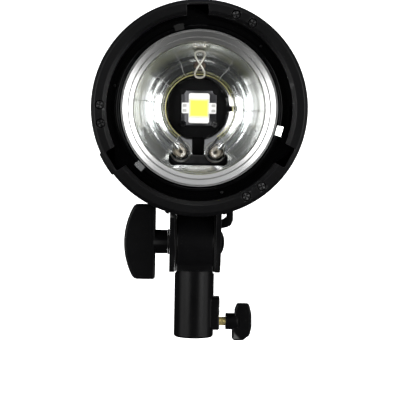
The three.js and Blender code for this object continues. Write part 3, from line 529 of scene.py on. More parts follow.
def parts_tree():
    """Geometry Nodes that put a part on every point, turned about Y by the point's own turn."""
    name = "Parts on points"
    if name in bpy.data.node_groups:
        return bpy.data.node_groups[name]
    tree = bpy.data.node_groups.new(name, "GeometryNodeTree")
    sockets = (("Points", "IN", "Geometry"), ("Part", "IN", "Object"), ("Size", "IN", "Float"),
               ("Finish", "IN", "Material"), ("Parts", "OUT", "Geometry"))
    for label, way, kind in sockets:
        tree.interface.new_socket(name=label, in_out=f"{way}PUT", socket_type=f"NodeSocket{kind}")
    graph = Graph(tree)
    given = graph.add("NodeGroupInput", out="Points")
    turn = graph.add("GeometryNodeInputNamedAttribute", {"data_type": "FLOAT"}, {"Name": "turn"},
                     out="Attribute")
    rotation = graph.add("ShaderNodeCombineXYZ", inputs={"Y": turn})
    size = given.part("Size")
    part = graph.add("GeometryNodeObjectInfo", inputs={"Object": given.part("Part")}, out="Geometry")
    inputs = {"Points": given, "Instance": part, "Rotation": rotation, "Scale": size}
    copies = graph.add("GeometryNodeInstanceOnPoints", inputs=inputs)
    real = graph.add("GeometryNodeRealizeInstances", inputs={0: copies})
    painted = graph.add("GeometryNodeSetMaterial",
                        inputs={"Geometry": real, "Material": given.part("Finish")})
    graph.add("NodeGroupOutput", inputs={"Parts": painted})
    return tree


def repeated(name, part, places, look, body, slot, *nodes, sharp=32):
    """One piece of many like parts. Each place is a point and its clockwise turn in degrees."""
    bmesh.ops.transform(part, matrix=Matrix.Scale(MM, 4), verts=part.verts)
    pattern = as_object(f"{name}_pattern", part)
    cloud = bpy.data.meshes.new(f"{name}_points")
    cloud.from_pydata([Vector(point) * MM for point, _ in places], [], [])
    turns = cloud.attributes.new("turn", "FLOAT", "POINT")
    turns.data.foreach_set("value", [math.radians(turn) for _, turn in places])
    holder = bpy.data.objects.new(f"{name}_holder", cloud)
    bpy.context.scene.collection.objects.link(holder)
    modifier = holder.modifiers.new("parts", "NODES")
    modifier.node_group = parts_tree()
    given = {"Part": pattern, "Size": 1.0, "Finish": finish(look)}
    for item in modifier.node_group.interface.items_tree:
        if item.name in given:
            modifier[item.identifier] = given[item.name]
    made = bpy.data.objects.new(name, as_mesh(holder))
    made.data.name = name
    bpy.context.scene.collection.objects.link(made)
    bpy.data.objects.remove(pattern)
    return complete(made, look, body, nodes, sharp)


# ---- The object's own sizes and colours ----------------------------------------------------------


def length(name, default, description):
    return FloatProperty(name=name, description=description, default=default * MM, unit="LENGTH", min=0.0)


def colour(name, default, description):
    settings = {"subtype": "COLOR", "size": 3, "min": 0.0, "max": 1.0}
    return FloatVectorProperty(name=name, description=description, default=default, **settings)


class MonolightColours(bpy.types.PropertyGroup):
    """Colours of the strobe's finishes."""

    plastic: colour("Plastic", (0.0014, 0.0014, 0.0016), "Black of the moulded body, ring and knobs")
    gloss: colour("Gloss", (0.0009, 0.0009, 0.001), "Black of the glossy moulding behind the ring")
    coat: colour("Coating", (0.0017, 0.0017, 0.0019), "Black of the coated bracket")
    bowl: colour("Reflector", (0.86, 0.86, 0.85), "Metal of the lamp's reflector")
    brass: colour("Brass", (0.86, 0.76, 0.42), "Screws and inserts of the stand adapter")
    phosphor: colour("Phosphor", (0.72, 0.76, 0.09), "Silicone over the modelling lamp")


class MonolightSizes(bpy.types.PropertyGroup):
    """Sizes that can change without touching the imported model."""

    tube_wall: length("Tube wall", 1.15, "Thickness of the flash tube's glass")
    wire: length("Trigger wire", 0.13, "Radius of the wire wound round the flash tube")
    dial_flutes: IntProperty(name="Dial flutes", description="Grooves round the control dial", default=36,
                             min=8)
    screw_recess: length("Screw recess", 1.0, "Depth of the cross recess in the screw heads")


def sizes():
    return bpy.context.scene.monolight_sizes


LUGS = (-2.0, 118.0, 238.0)  # the bayonet notches, clockwise from the top
SCREWS = [lug + turn for lug in LUGS for turn in (22.4, 33.0)]


def screw(radius, height, recess):
    """A pan-head screw along Y, with its head towards the front and a cross recess."""
    top = rounded([(0, 0), (radius - 0.5, 0.0), (radius, 0.8, 0.4), (radius, height), (0, height)],
                  closed=False)
    reach, half = radius * 0.62, 0.28
    cross = []
    for quarter in range(4):
        turn = Matrix.Rotation(-math.pi / 2 * quarter, 2)
        cross += [tuple(turn @ Vector(corner)) for corner in ((-half, reach), (half, reach), (half, half))]
    return combine(lathe(top, sides=32), slab(cross, (-1, recess)))


class MONOLIGHT_OT_mount_ring(bpy.types.Operator):
    """Builds the bayonet ring with its three notches, lug pockets and screws"""

    bl_idname = "monolight.mount_ring"
    bl_label = "Mount ring"

    def execute(self, context):
        corners = [(53.6, 10, 0.3), (53.6, 2.3, 0.5), (55.9, 0, 0.5), (60.4, 0, 0.7), (62.5, 2.1, 0.7),
                   (62.5, 10, 0.4)]
        ring = lathe(rounded(corners), sides=240)
        tools = []
        for lug in LUGS:
            mouth = rounded([(-6.25, 48), (6.25, 48), (6.25, 59.4, 0.9), (-6.25, 59.4, 0.9)])
            tools.append(spun(slab(mouth, (-1, 12)), lug))
            tools.append(sector(51, 59.8, (lug - 30, lug + 7), (4.6, 12)))
        for tool in tools:
            ring = combine(ring, tool)
        wells = []
        for turn in SCREWS:
            x, z = on_circle(57.4, turn)
            well = rounded([(0, -1), (2.75, -1), (2.75, 2.1), (1.55, 2.1), (1.55, 12), (0, 12)])
            wells.append(moved(lathe(well, sides=40), x, 0, z))
        ring = cut(ring, *wells)
        piece("mount_ring_fine", head(ring), "ring", "head", "anodised_black", "mount_ring", bevel=0.22)
        recess = sizes().screw_recess / MM
        places = [((on_circle(57.4, t)[0], FACE_Y + 0.35, AXIS_Z + on_circle(57.4, t)[1]), t * 3.7)
                  for t in SCREWS]
        nodes = [f"ring_screw_{i + 1}" for i in range(len(SCREWS))]
        repeated("ring_screws", screw(2.4, 1.75, recess), places, "grip", "head", "black_plate", *nodes)
        return {"FINISHED"}


class MONOLIGHT_OT_mount_base(bpy.types.Operator):
    """Builds the glossy moulding, its collar springs, the release slider and the lock pin"""

    bl_idname = "monolight.mount_base"
    bl_label = "Mount base"

    def execute(self, context):
        corners = [(46.4, 6, 0.4), (48.2, 6, 0.7), (48.2, 10.3, 0.8), (62, 10.3, 0.3), (62, 13, 0.4),
                   (53, 13, 0.2), (53, 21, 0.4), (50.6, 21, 0.4), (50.6, 13), (48.2, 13),
                   (48.2, 46.5, 0.4), (8.8, 46.5), (8.8, 44), (46.4, 44, 1.0)]
        base = lathe(rounded(corners), sides=240)
        holes = [moved(lathe([(0, 43), (7.3, 43), (7.3, 48), (0, 48)], sides=40), side * 10.1, 0, -25.7)
                 for side in (-1, 1)]
        piece("mount_base_fine", head(cut(base, *holes)), "gloss", "head", "gloss_black", "mount_base")
        arch = []  # each leaf bows outwards between its ends
        for i in range(13):
            share = i / 6 - 1
            arch.append((share * 4.1, 48.55 + 1.05 * (1 - share * share) ** 0.7))
        outer = [on_circle(radius + 0.32, turn) for turn, radius in arch]
        inner = [on_circle(radius, turn) for turn, radius in reversed(arch)]
        leaf = slab(outer + inner, (6.5, 10.1), edge=0.08, steps=1)
        hook = lathe([(46.2, 5.5), (49.6, 4.2), (49.6, 5.9), (46.2, 5.92)], sides=240)
        hook = combine(hook, sector(45, 51, (-3.3, 3.3), (4, 6)), "INTERSECT")
        strip = gather(leaf, hook)
        places = [((0, FACE_Y, AXIS_Z), lug - 13) for lug in LUGS]
        nodes = [f"collar_spring_{i + 1}" for i in range(3)]
        repeated("collar_springs", strip, places, "leaf", "head", "steel", *nodes)
        pegs = [((on_circle(50.6, lug + 46)[0], FACE_Y + 9.0, AXIS_Z + on_circle(50.6, lug + 46)[1]), 0)
                for lug in LUGS]
        peg = lathe(rounded([(0, 0), (0.9, 0, 0.4), (0.9, 1.4), (0, 1.4)], closed=False), sides=24)
        repeated("stop_pegs", peg, pegs, "zinc", "head", "steel")
        thumb = sector(56.4, 64, (231.5, 244.5), (13.4, 21), edge=0.7)
        ribs = [sector(63.2, 65, (t, t + 0.7), (14.5, 20)) for t in (233.4, 235.4, 237.4, 239.4, 241.4)]
        slider = join(cut(thumb, *ribs), sector(56.4, 59.5, (231.2, 251), (13.45, 17)))
        piece("release_slider_fine", head(slider), "moulded", "release_slider", "black_plastic",
              "release_slider")
        x, z = on_circle(58, 227.3)
        pin = lathe(rounded([(0, 5.6), (1.6, 5.6, 0.6), (1.6, 16, 0.2), (0, 16)], closed=False), sides=32)
        piece("lock_pin_fine", head(moved(pin, x, 0, z)), "steel", "lock_pin", "steel", "lock_pin")
        return {"FINISHED"}


def bowl_depth(radius):
    """How far a place in the bowl lies behind the ring's face: steep at the rim, flatter in the middle."""
    return 12 + 14.5 * (1 - (radius / 38) ** 3)


def bore(radius, span, x=0.0, z=0.0):
    """A round cutter along Y."""
    return moved(lathe([(0, span[0]), (radius, span[0]), (radius, span[1]), (0, span[1])], sides=48), x, 0, z)


LEG_PLACES = ((-10.1, -25.7), (10.1, -25.7))  # x and z of the flash tube's legs, from the light axis


class MONOLIGHT_OT_reflector(bpy.types.Operator):
    """Builds the spun reflector with its stepped flange and the opening for the flash tube's legs"""

    bl_idname = "monolight.reflector"
    bl_label = "Reflector"

    def execute(self, context):
        flange = [(45.6, 8), (45.6, 6.9), (45.3, 6.6), (44.95, 6.65), (44.7, 7.8), (44.4, 7.85),
                  (44.25, 6.75), (41.5, 7.75), (41.35, 9), (40.95, 9.1), (40.8, 8.1), (38.7, 8.9),
                  (38.4, 9.3), (38.2, 10.2), (38, 12)]
        radii = [38 - 29 * i / 40 for i in range(1, 41)]
        front = flange + [(r, bowl_depth(r)) for r in radii]
        back = [(r + 0.6, bowl_depth(r) + 1) for r in reversed(radii)]
        back += [(39.3, 11.4), (41.2, 9.7), (44.6, 8.3)]
        dish = lathe(front + back, sides=240)
        bar = rounded([(-17.3, -33.4, 3), (17.3, -33.4, 3), (17.3, -27, 1.5), (-17.3, -27, 1.5)])
        tools = [slab(bar, (0, 44)), block((-3.7, 3.7), (0, 44), (-31, 0)), bore(3.9, (10, 44), 0, 25.2)]
        tools += [bore(6.35, (0, 44), x, z) for x, z in LEG_PLACES]
        for tool in tools:
            dish = combine(dish, tool)
        piece("reflector_fine", head(dish), "bowl", "head", "polished", "reflector", sharp=24)
        return {"FINISHED"}


LEG_TURN, LEG_R, TUBE_R, TUBE_RING_R, TUBE_PLANE, TUBE_END, BEND = 158.5, 27.6, 5.25, 25.2, 15.0, 45.5, 6.0


def tube_path(count=150):
    """Points down the middle of the flash tube, from the left leg round the ring to the right leg."""
    corner = math.pi / 2 * BEND
    half = math.radians(LEG_TURN) * TUBE_RING_R
    straight = TUBE_END - TUBE_PLANE - BEND
    total = half + corner + straight
    squeeze = math.radians(LEG_TURN) / (math.radians(LEG_TURN) + BEND / TUBE_RING_R)
    path = []
    for i in range(-count // 2, count // 2 + 1):
        along = abs(i) / (count // 2) * total
        past = max(0.0, along - half)
        swing = min(past / BEND, math.pi / 2)
        depth = TUBE_PLANE + BEND * (1 - math.cos(swing)) + max(0.0, past - corner)
        radius = TUBE_RING_R + (LEG_R - TUBE_RING_R) * math.sin(swing)
        angle = (min(along, half) + BEND * math.sin(swing)) / TUBE_RING_R * squeeze
        side = -1 if i < 0 else 1
        path.append((side * radius * math.sin(angle), depth, radius * math.cos(angle)))
    return path


class MONOLIGHT_OT_flash_tube(bpy.types.Operator):
    """Builds the glass ring, its electrodes, trigger wire, clip, post, sockets and black base"""

    bl_idname = "monolight.flash_tube"
    bl_label = "Flash tube"

    def execute(self, context):
        path = tube_path()
        wall = sizes().tube_wall / MM
        glass = pipe(path, TUBE_R, 32, TUBE_R - wall)
        piece("flash_tube_fine", head(glass), "glass", "head", "tube_glass", "flash_tube")
        for side, label in ((-1, "left"), (1, "right")):
            ends = path if side < 0 else path[::-1]
            piece(f"electrode_{label}", head(pipe(ends[22:38], 1.2, 16)), "steel", "head", "steel")
            x, _, z = ends[0]
            cathode = lathe(rounded([(1.3, 24), (3.9, 24, 0.5), (3.9, 29), (1.3, 29)]), sides=48)
            piece(f"cathode_{label}", head(moved(cathode, x, 0, z)), "ceramic", "head", "ceramic")
            collar = lathe(rounded([(5.45, 21.9), (6.0, 21.9, 0.2), (6.0, 25), (5.45, 25)]), sides=48)
            piece(f"leg_collar_{label}", head(moved(collar, x, 0, z)), "tin", "head", "ceramic")
            corners = [(0, 45.9), (5.7, 45.9), (5.7, 40, 0.3), (7, 40, 0.4), (7, 54, 0.6), (0, 54)]
            socket = moved(lathe(rounded(corners, closed=False), sides=48), x, 0, z)
            name = f"tube_socket_{label}"
            piece(f"{name}_fine", head(socket), "ceramic", "head", "ceramic", name)
        wire = sizes().wire / MM
        loop = [(0.35 * math.sin(3 * t), (TUBE_R + wire + 0.03) * math.cos(t),
                 (TUBE_R + wire + 0.03) * math.sin(t)) for t in [math.tau * i / 40 for i in range(41)]]
        turns = (35, 65, 92, 118, 143, 215, 242, 277, 306, 336)
        places = [((on_circle(TUBE_RING_R, t)[0], FACE_Y + TUBE_PLANE,
                    AXIS_Z + on_circle(TUBE_RING_R, t)[1]), t) for t in turns]
        repeated("trigger_wraps", pipe(loop, wire, 8), places, "wire", "head", "steel")
        lead = 2 * wire
        inside = TUBE_RING_R - TUBE_R - lead - 0.05
        run = [(on_circle(inside, t)[0], TUBE_PLANE - 0.6, on_circle(inside, t)[1])
               for t in range(-147, 148, 3)]
        piece("trigger_lead", head(pipe(run, lead, 8)), "lead", "head", "steel")
        figure = []
        for i in range(81):
            t = math.tau * i / 80
            up = 25.4 + 7.7 * math.cos(t)
            over = TUBE_R + 0.75
            drop = over - math.sqrt(max(over * over - min(abs(up - TUBE_RING_R), over) ** 2, 0.0))
            figure.append((3.1 * math.sin(2 * t) * (0.75 + 0.25 * abs(math.cos(t))),
                           TUBE_PLANE - over + drop * 0.9, up))
        piece("tube_clip_fine", head(pipe(figure, 0.55, 12)), "nickel", "head", "steel", "tube_clip")
        front = box_mm("tube_post")[0].y - FACE_Y
        corners = [(0, front), (3.5, front, 0.7), (3.5, 43.9, 0.3), (0, 43.9)]
        post = moved(lathe(rounded(corners, closed=False), sides=40), 0, 0, TUBE_RING_R)
        piece("tube_post_fine", head(post), "amber", "head", "ceramic", "tube_post")
        stem = slab(rounded([(-3.4, -26.8, 0.4), (3.4, -26.8, 0.4), (3.4, -14, 0.6), (-3.4, -14, 0.6)]),
                    (25, 31), edge=0.4)
        bar = slab(rounded([(-16.9, -33.0, 2.6), (16.9, -33.0, 2.6), (16.9, -27.4, 1.2),
                            (-16.9, -27.4, 1.2)]), (19.5, 25), edge=0.5)
        for x, z in LEG_PLACES:
            bar = combine(bar, bore(6.4, (15, 44), x, z))
        piece("tube_base_stem", head(stem), "moulded", "head", "black_plastic")
        piece("tube_base_bar", head(bar), "moulded", "head", "black_plastic")
        return {"FINISHED"}


class MONOLIGHT_OT_modelling_lamp(bpy.types.Operator):
    """Builds the black lamp plate and the LED with its board, frame, phosphor, pads and screws"""

    bl_idname = "monolight.modelling_lamp"
    bl_label = "Modelling lamp"

    def execute(self, context):
        rim = arc(-1.2, 0, 17.8, -78, 258, 90)
        shape = slab([p for p in rim if p[1] > -17.4], (0, 2.5), edge=0.5)
        for x in ((-19.4, -16), (14, 19.4)):
            shape = join(shape, block(x, (0.2, 2.3), (-1.6, 1.6), edge=0.4, corner=0.5))
        post = lathe(rounded([(0, 1.5), (8.5, 1.5), (8.5, 27, 0.5), (0, 27)], closed=False), sides=64)
        self.place("lamp_plate_fine", join(shape, post), "ring", "anodised_black", "lamp_plate")
        half, notch = 10.2, 2.4  # half the board's side, and the round notch in each corner
        outline = []
        for x, z, turn in ((-1, -1, 90), (1, -1, 180), (1, 1, 270), (-1, 1, 0)):
            outline += arc(x * half, z * half, notch, turn, turn - 90, 8)
        self.place("led_base_fine", slab(outline, (-1.6, -0.1), edge=0.15, steps=2), "board", "polished",
                   "led_base")
        upright = slab(rounded([(-6.1, -8.8, 1.2), (6.1, -8.8, 1.2), (6.1, 8.8, 1.2), (-6.1, 8.8, 1.2)]),
                       (-2.9, -1.7), edge=0.3)
        mask = join(upright, block((-10.1, 10.1), (-2.7, -1.7), (-3.15, 3.15), edge=0.2, corner=0.6))
        mask = cut(mask, block((-5.75, 5.75), (-4, 0), (-5.6, 5.6), corner=0.8))
        self.place("led_frame_fine", mask, "white", "white_plastic", "led_frame")
        dome = block((-5.7, 5.7), (-2.85, -1.7), (-5.55, 5.55), edge=0.3, corner=0.8)
        self.place("led_phosphor_fine", dome, "phosphor", "phosphor", "led_phosphor")
        pads = [block((x - 1.1, x + 1.1), (-2.85, -2.6), (z - 0.8, z + 0.8), corner=0.3)
                for x in (-8.4, 8.4) for z in (-1.5, 1.5)]
        self.place("led_pads", gather(*pads), "tin", "steel")
        recess = sizes().screw_recess / MM
        places = [((x, FACE_Y + LAMP_DEEP - 2.4, AXIS_Z - 9.3), 2 * x) for x in (-9.3, 9.3)]
        repeated("led_screws", screw(2.0, 2.35, recess), places, "plate", "head", "black_plate")
        # Painted shade: thin matte black discs just in front of the plate in the two upper corners, standing
        # for the dark of the empty screw holes there
        wells = [bore(1.7, (-0.3, -0.05), x, 9.6) for x in (-9.6, 9.6)]
        self.place("lamp_plate_holes", gather(*wells), "rubber", "black_plastic")
        return {"FINISHED"}

    def place(self, name, shape, look, slot, *nodes):
        """A piece whose depth is measured from the front of the lamp plate."""
        piece(name, head(moved(shape, 0, LAMP_DEEP, 0)), look, "head", slot, *nodes)


def half_round(inner, outer, span, keep, bevel):
    """A tube about the light axis, kept where keep says, as a closed shell."""
    corners = [(inner, span[0]), (outer, span[0], 0.3), (outer, span[1] - bevel),
               (outer - bevel * 0.6, span[1], 0.6), (inner, span[1])]
    return combine(lathe(rounded(corners), sides=200), keep, "INTERSECT")


class MONOLIGHT_OT_shells(bpy.types.Operator):
    """Builds the upper and lower body shells with vents, the rail and the battery bay"""

    bl_idname = "monolight.shells"
    bl_label = "Body shells"

    def execute(self, context):
        upper = half_round(53.5, 56, (13.3, 188), block((-70, 70), (0, 200), (0.15, 70)), 3)
        slots = []
        for turn in (52, 60, 68, 76):
            for way in (-1, 1):
                slot = slab(rounded([(-1.3, 120, 1.25), (1.3, 120, 1.25), (1.3, 154, 1.25),
                                     (-1.3, 154, 1.25)]), (47, 62), "Z")
                slots.append(spun(slot, way * turn))
        band = lathe([(56.4, 17), (55.75, 17.3), (55.75, 18.1), (56.4, 18.4)], sides=200)
        upper = combine(cut(upper, *slots), band)
        piece("upper_shell_fine", head(upper), "moulded", "head", "black_plastic", "upper_shell", bevel=0.3)
        lower = half_round(53.5, 56, (13.3, 188), block((-70, 70), (0, 200), (-70, -0.15)), 3)
        lower = cut(lower, block((-70, 70), (112, 200), (-70, -20)))
        inside = lathe([(0, 110), (53.6, 110), (53.6, 182), (0, 182)], sides=200)
        lining = combine(join(block((-70, 70), (110, 181.9), (-20, -18)),
                              block((-70, 70), (110, 112), (-70, -18.2))),
                         inside, "INTERSECT")
        y = (PIVOT_DEEP - 26, PIVOT_DEEP + 26)
        rail = block((-19.2, 19.2), y, (BELOW + 19.2, -45), edge=0.6, corner=1.8)
        for tool in (block((-17.6, 17.6), (0, 200), (BELOW + 20.2, BELOW + 23.3)),
                     block((-16.3, 16.3), (0, 200), (BELOW, BELOW + 23.3)),
                     lathe([(0, 0), (53.7, 0), (53.7, 200), (0, 200)], sides=200)):
            rail = combine(rail, tool)
        lower = join(lower, lining, rail)
        band = lathe([(56.4, 17), (55.75, 17.3), (55.75, 18.1), (56.4, 18.4)], sides=200)
        lower = combine(lower, combine(band, block((-19.2, 19.2), (0, 60), (-70, -40))))
        piece("lower_shell_fine", head(lower), "moulded", "head", "black_plastic", "lower_shell", bevel=0.3)
        return {"FINISHED"}


class MONOLIGHT_OT_battery(bpy.types.Operator):
    """Builds the battery pack with its grip grooves, and its latch"""

    bl_idname = "monolight.battery"
    bl_label = "Battery"

    def execute(self, context):
        corners = [(0, 112.4), (56, 112.4, 0.3), (56, 198, 2.5), (52, 202, 1.5), (0, 202)]
        pack = combine(lathe(rounded(corners, closed=False), sides=200),
                       block((-70, 70), (0, 210), (-70, -20.4)),
                       "INTERSECT")
        pack = combine(pack, block((-8.3, 8.3), (190, 210), (-33.3, -26.7), corner=1))
        grooves = []
        for i in range(5):
            deep = 176 + 3.2 * i
            groove = lathe([(54.9, deep), (57, deep - 0.8), (57, deep + 0.8)], sides=200)
            grooves.append(combine(groove, block((-70, 70), (0, 210), (-48, -28)), "INTERSECT"))
        pack = cut(pack, *grooves)
        piece("battery_pack_fine", head(pack), "moulded", "battery", "black_plastic", "battery_pack",
              bevel=0.4)
        latch = block((-8, 8), (193, 201.7), (-33, -27), edge=0.8, corner=1.2)
        ridges = [block((-6, 6), (201.3, 203), (z - 0.35, z + 0.35)) for z in (-31.5, -30, -28.5)]
        piece("battery_latch_fine", head(cut(latch, *ridges)), "gloss", "battery_latch", "gloss_black",
              "battery_latch")
        return {"FINISHED"}


BUTTONS = {"button_mode": -37, "button_test": -23.5, "button_lamp": 23.5, "button_set": 37}


class MONOLIGHT_OT_controls(bpy.types.Operator):
    """Builds the rear panel with its display, dial, buttons, switch, jack, port cover and sensor"""

    bl_idname = "monolight.controls"
    bl_label = "Rear controls"

    def execute(self, context):
        plate = lathe(rounded([(0, 184), (53.1, 184), (53.1, 187.5, 0.5), (0, 187.5)], closed=False),
                      sides=200)
        plate = combine(plate, block((-60, 60), (180, 190), (-60, -17.6)))
        tools = [block((-23, 23), (180, 190), (13, 43), corner=2),
                 block((-42, -32), (180, 190), (11.4, 16.6), corner=0.6),
                 block((32, 40), (180, 190), (13.5, 26.5), corner=0.6)]
        for x, z, r in ((0, -4, 3.4), (-37, 26, 3.9), (0, 48.2, 2.9),
                        *((b, -6, 4.7) for b in BUTTONS.values())):
            tools.append(moved(lathe([(0, 180), (r, 180), (r, 190), (0, 190)], sides=40), x, 0, z))
        piece("rear_panel_fine", head(cut(plate, *tools)), "moulded", "head", "black_plastic", "rear_panel",
              bevel=0.25)
        window = block((-22.7, 22.7), (185.9, 187.3), (13.3, 42.7), edge=0.3, corner=1.8)
        piece("display_window_fine", head(window), "screen", "head", "window", "display_window")
        dial = lathe(rounded([(0, 188.2), (12, 188.2, 0.5), (12, 199, 1.5), (0, 199)], closed=False),
                     sides=144)
        count = sizes().dial_flutes
        flutes = []
        for i in range(count):
            x, z = on_circle(12.25, 360 * i / count)
            flutes.append(moved(lathe([(0, 189.5), (0.6, 189.5), (0.6, 200), (0, 200)], sides=12), x, 0, z))
        mark = block((-0.5, 0.5), (198.5, 200), (6, 11), corner=0.3)
        dial = cut(cut(dial, *flutes), mark)
        piece("dial_knob_fine", head(moved(dial, 0, 0, -4)), "grip", "dial", "grip_black", "dial_knob")
        for name, x in BUTTONS.items():
            cap = lathe(rounded([(0, 179), (4.4, 179), (4.4, 180), (5.6, 180), (5.6, 182), (4.4, 182),
                                 (4.4, 189.8, 0.9), (3.0, 189.8), (2.2, 189.5), (0, 189.35)],
                                closed=False), sides=64)
            piece(f"{name}_fine", head(moved(cap, x, 0, -6)), "rubber", name, "rubber", name)
        low, high = box_mm("power_switch")
        tab = block((low.x, high.x), (low.y, high.y), (low.z, high.z), edge=0.5, corner=0.8)
        middle = (low.x + high.x) / 2
        ridges = [block((middle + d - 0.3, middle + d + 0.3), (high.y - 0.4, high.y + 1),
                        (low.z - 1, high.z + 1)) for d in (-1.2, 0, 1.2)]
        piece("power_switch_fine", cut(tab, *ridges), "gloss", "power_switch", "gloss_black", "power_switch")
        jack = lathe(rounded([(0, 172), (3.6, 172), (3.6, 189, 0.5), (1.8, 189, 0.3), (1.8, 178), (0, 178)],
                             closed=False), sides=48)
        piece("sync_jack_fine", head(moved(jack, -37, 0, 26)), "steel", "head", "steel", "sync_jack")
        flap = block((30.4, 41.6), (188, 190), (11.9, 28.1), edge=0.6, corner=1.5)
        plug = block((32.8, 39.2), (186.5, 188.2), (14.3, 22), edge=0.2)
        lip = block((33, 39), (189.6, 190.0), (12.4, 13.4), edge=0.1)
        piece("port_cover_fine", head(join(flap, plug, lip)), "rubber", "port_cover", "rubber", "port_cover")
        bead = lathe(rounded([(0, 182), (2.6, 182), (2.6, 188.4, 0.5), (1.6, 190, 0.5), (0, 190.6)],
                             closed=False),
                     sides=48)
        piece("slave_sensor_fine", head(moved(bead, 0, 0, 48.2)), "gloss", "head", "gloss_black",
              "slave_sensor")
        return {"FINISHED"}


EAR_X = 16.0  # outer face of each yoke ear
LEVER_Z = 13.0  # the lever's screw above the tilt bolt


class MONOLIGHT_OT_yoke(bpy.types.Operator):
    """Builds the yoke, the tilt bolt, its washer, and the cranked rail lever with its screw"""

    bl_idname = "monolight.yoke"
    bl_label = "Yoke"

    def execute(self, context):
        ear = arc(0, 0, EAR_R, 180, 360, 40)
        side = [(-20, 23, 0.4), (-20, 16.5, 3)] + ear + [(20, 16.5, 3), (20, 23, 0.4)]
        ears = slab(rounded(side), (-EAR_X, EAR_X), "X", edge=0.5)
        yoke = join(ears, block((-17.3, 17.3), (-20, 20), (20.5, 23), edge=0.4))
        for tool in (block((-12.7, 12.7), (-30, 30), (-30, 20.5), corner=1.2),
                     lathe([(0, -30), (4.3, -30), (4.3, 0), (0, 0)], "X", 40),
                     block((0, 30), (-4.3, 4.3), (-4.3, 4.3)),
                     moved(lathe([(0, 0), (1.9, 0), (1.9, 30), (0, 30)], "X", 24), 0, 0, LEVER_Z)):
            yoke = combine(yoke, tool)
        piece("tilt_yoke_fine", tilt(yoke), "plate", "yoke", "black_plate", "tilt_yoke", bevel=0.3)
        seat = EAR_X + 0.1
        dome = rounded([(0, seat), (7.3, seat, 0.1), (7.3, seat + 0.3, 0.2), (5.8, seat + 1.3, 1.2),
                        (3.2, seat + 2.2, 2), (0, seat + 2.5)], closed=False)
        shank = lathe(rounded([(0, -33), (4, -33, 0.5), (4, seat + 0.2), (0, seat + 0.2)], closed=False),
                      "X", 48)
        bolt = join(lathe(dome, "X", 96), shank, block((12.8, seat + 0.2), (-4, 4), (-4, 4)))
        piece("tilt_bolt_fine", tilt(bolt), "gloss", "yoke", "black_plate", "tilt_bolt")
        near, far = -EAR_X - 0.03, -EAR_X - 1.1
        washer = lathe(rounded([(4.3, far, 0.1), (7.9, far, 0.3), (7.9, near, 0.3), (4.3, near, 0.1)]),
                       "X", 96)
        piece("tilt_washer_fine", tilt(washer), "zinc", "yoke", "steel", "tilt_washer")
        foot = EAR_X + 0.4
        crank = rounded([(foot, -4, 0.4), (foot + 3.8, -3, 2), (foot + 6, -1.7, 1.5), (foot + 7.2, 1.2, 2),
                         (foot + 7.2, 12.6, 0.6), (foot + 3.2, 12.6, 0.6), (foot + 3.2, 3.2, 1.2),
                         (foot, 0.9, 0.4)])
        lever = slab(crank, (-4, 4), edge=0.5)
        lever = cut(lever, lathe([(0, 0), (1.9, 0), (1.9, 20.3), (2.9, 20.3), (2.9, 40), (0, 40)], "X", 40))
        piece("rail_lever_fine", tilt(moved(lever, 0, 0, LEVER_Z)), "plate", "rail_lever", "black_plate",
              "rail_lever")
        pin = rounded([(0, 12.8), (1.6, 12.8), (1.6, 20.6), (2.6, 20.6), (2.6, 22, 0.4), (0, 22.3)],
                      closed=False)
        pin = moved(lathe(pin, "X", 40), 0, 0, LEVER_Z)
        piece("lever_screw_fine", tilt(pin), "steel", "yoke", "steel", "lever_screw")
        return {"FINISHED"}


class MONOLIGHT_OT_tilt_knob(bpy.types.Operator):
    """Builds the half-moon tilt knob and its brass insert"""

    bl_idname = "monolight.tilt_knob"
    bl_label = "Tilt knob"

    def execute(self, context):
        crown = arc(2.6, 0, 47, 180 - 23, 180 + 23, 24)
        face, half = -24.7, 23.3
        outline = [(face, -half, 1.6), (face, half, 1.6), (-38.2, half, 4)] + crown + [(-38.2, -half, 4)]
        grip = slab(rounded(outline), (-7.4, 7.4), edge=2.2, steps=5)
        collar = lathe(rounded([(0, -26), (7.5, -26), (7.5, -17.15, 0.3), (0, -17.15)], closed=False),
                       "X", 72)
        knob = join(grip, collar)
        knob = combine(knob, lathe([(0, -30.3), (5.7, -30.3), (5.7, -10), (0, -10)], "X", 48))
        knob = combine(knob, lathe([(0, -34), (4.3, -34), (4.3, -10), (0, -10)], "X", 48))
        piece("tilt_knob_fine", tilt(knob), "grip", "tilt_knob", "grip_black", "tilt_knob")
        insert = lathe(rounded([(4.3, -30, 0.2), (5.4, -30, 0.3), (5.4, -17.7, 0.3), (4.3, -17.7, 0.2)]),
                       "X", 48)
        piece("tilt_insert_fine", tilt(insert), "brass", "tilt_nut", "brass", "tilt_insert")
        return {"FINISHED"}


LOCK_Z = 9.9  # height of the stand's lock screw


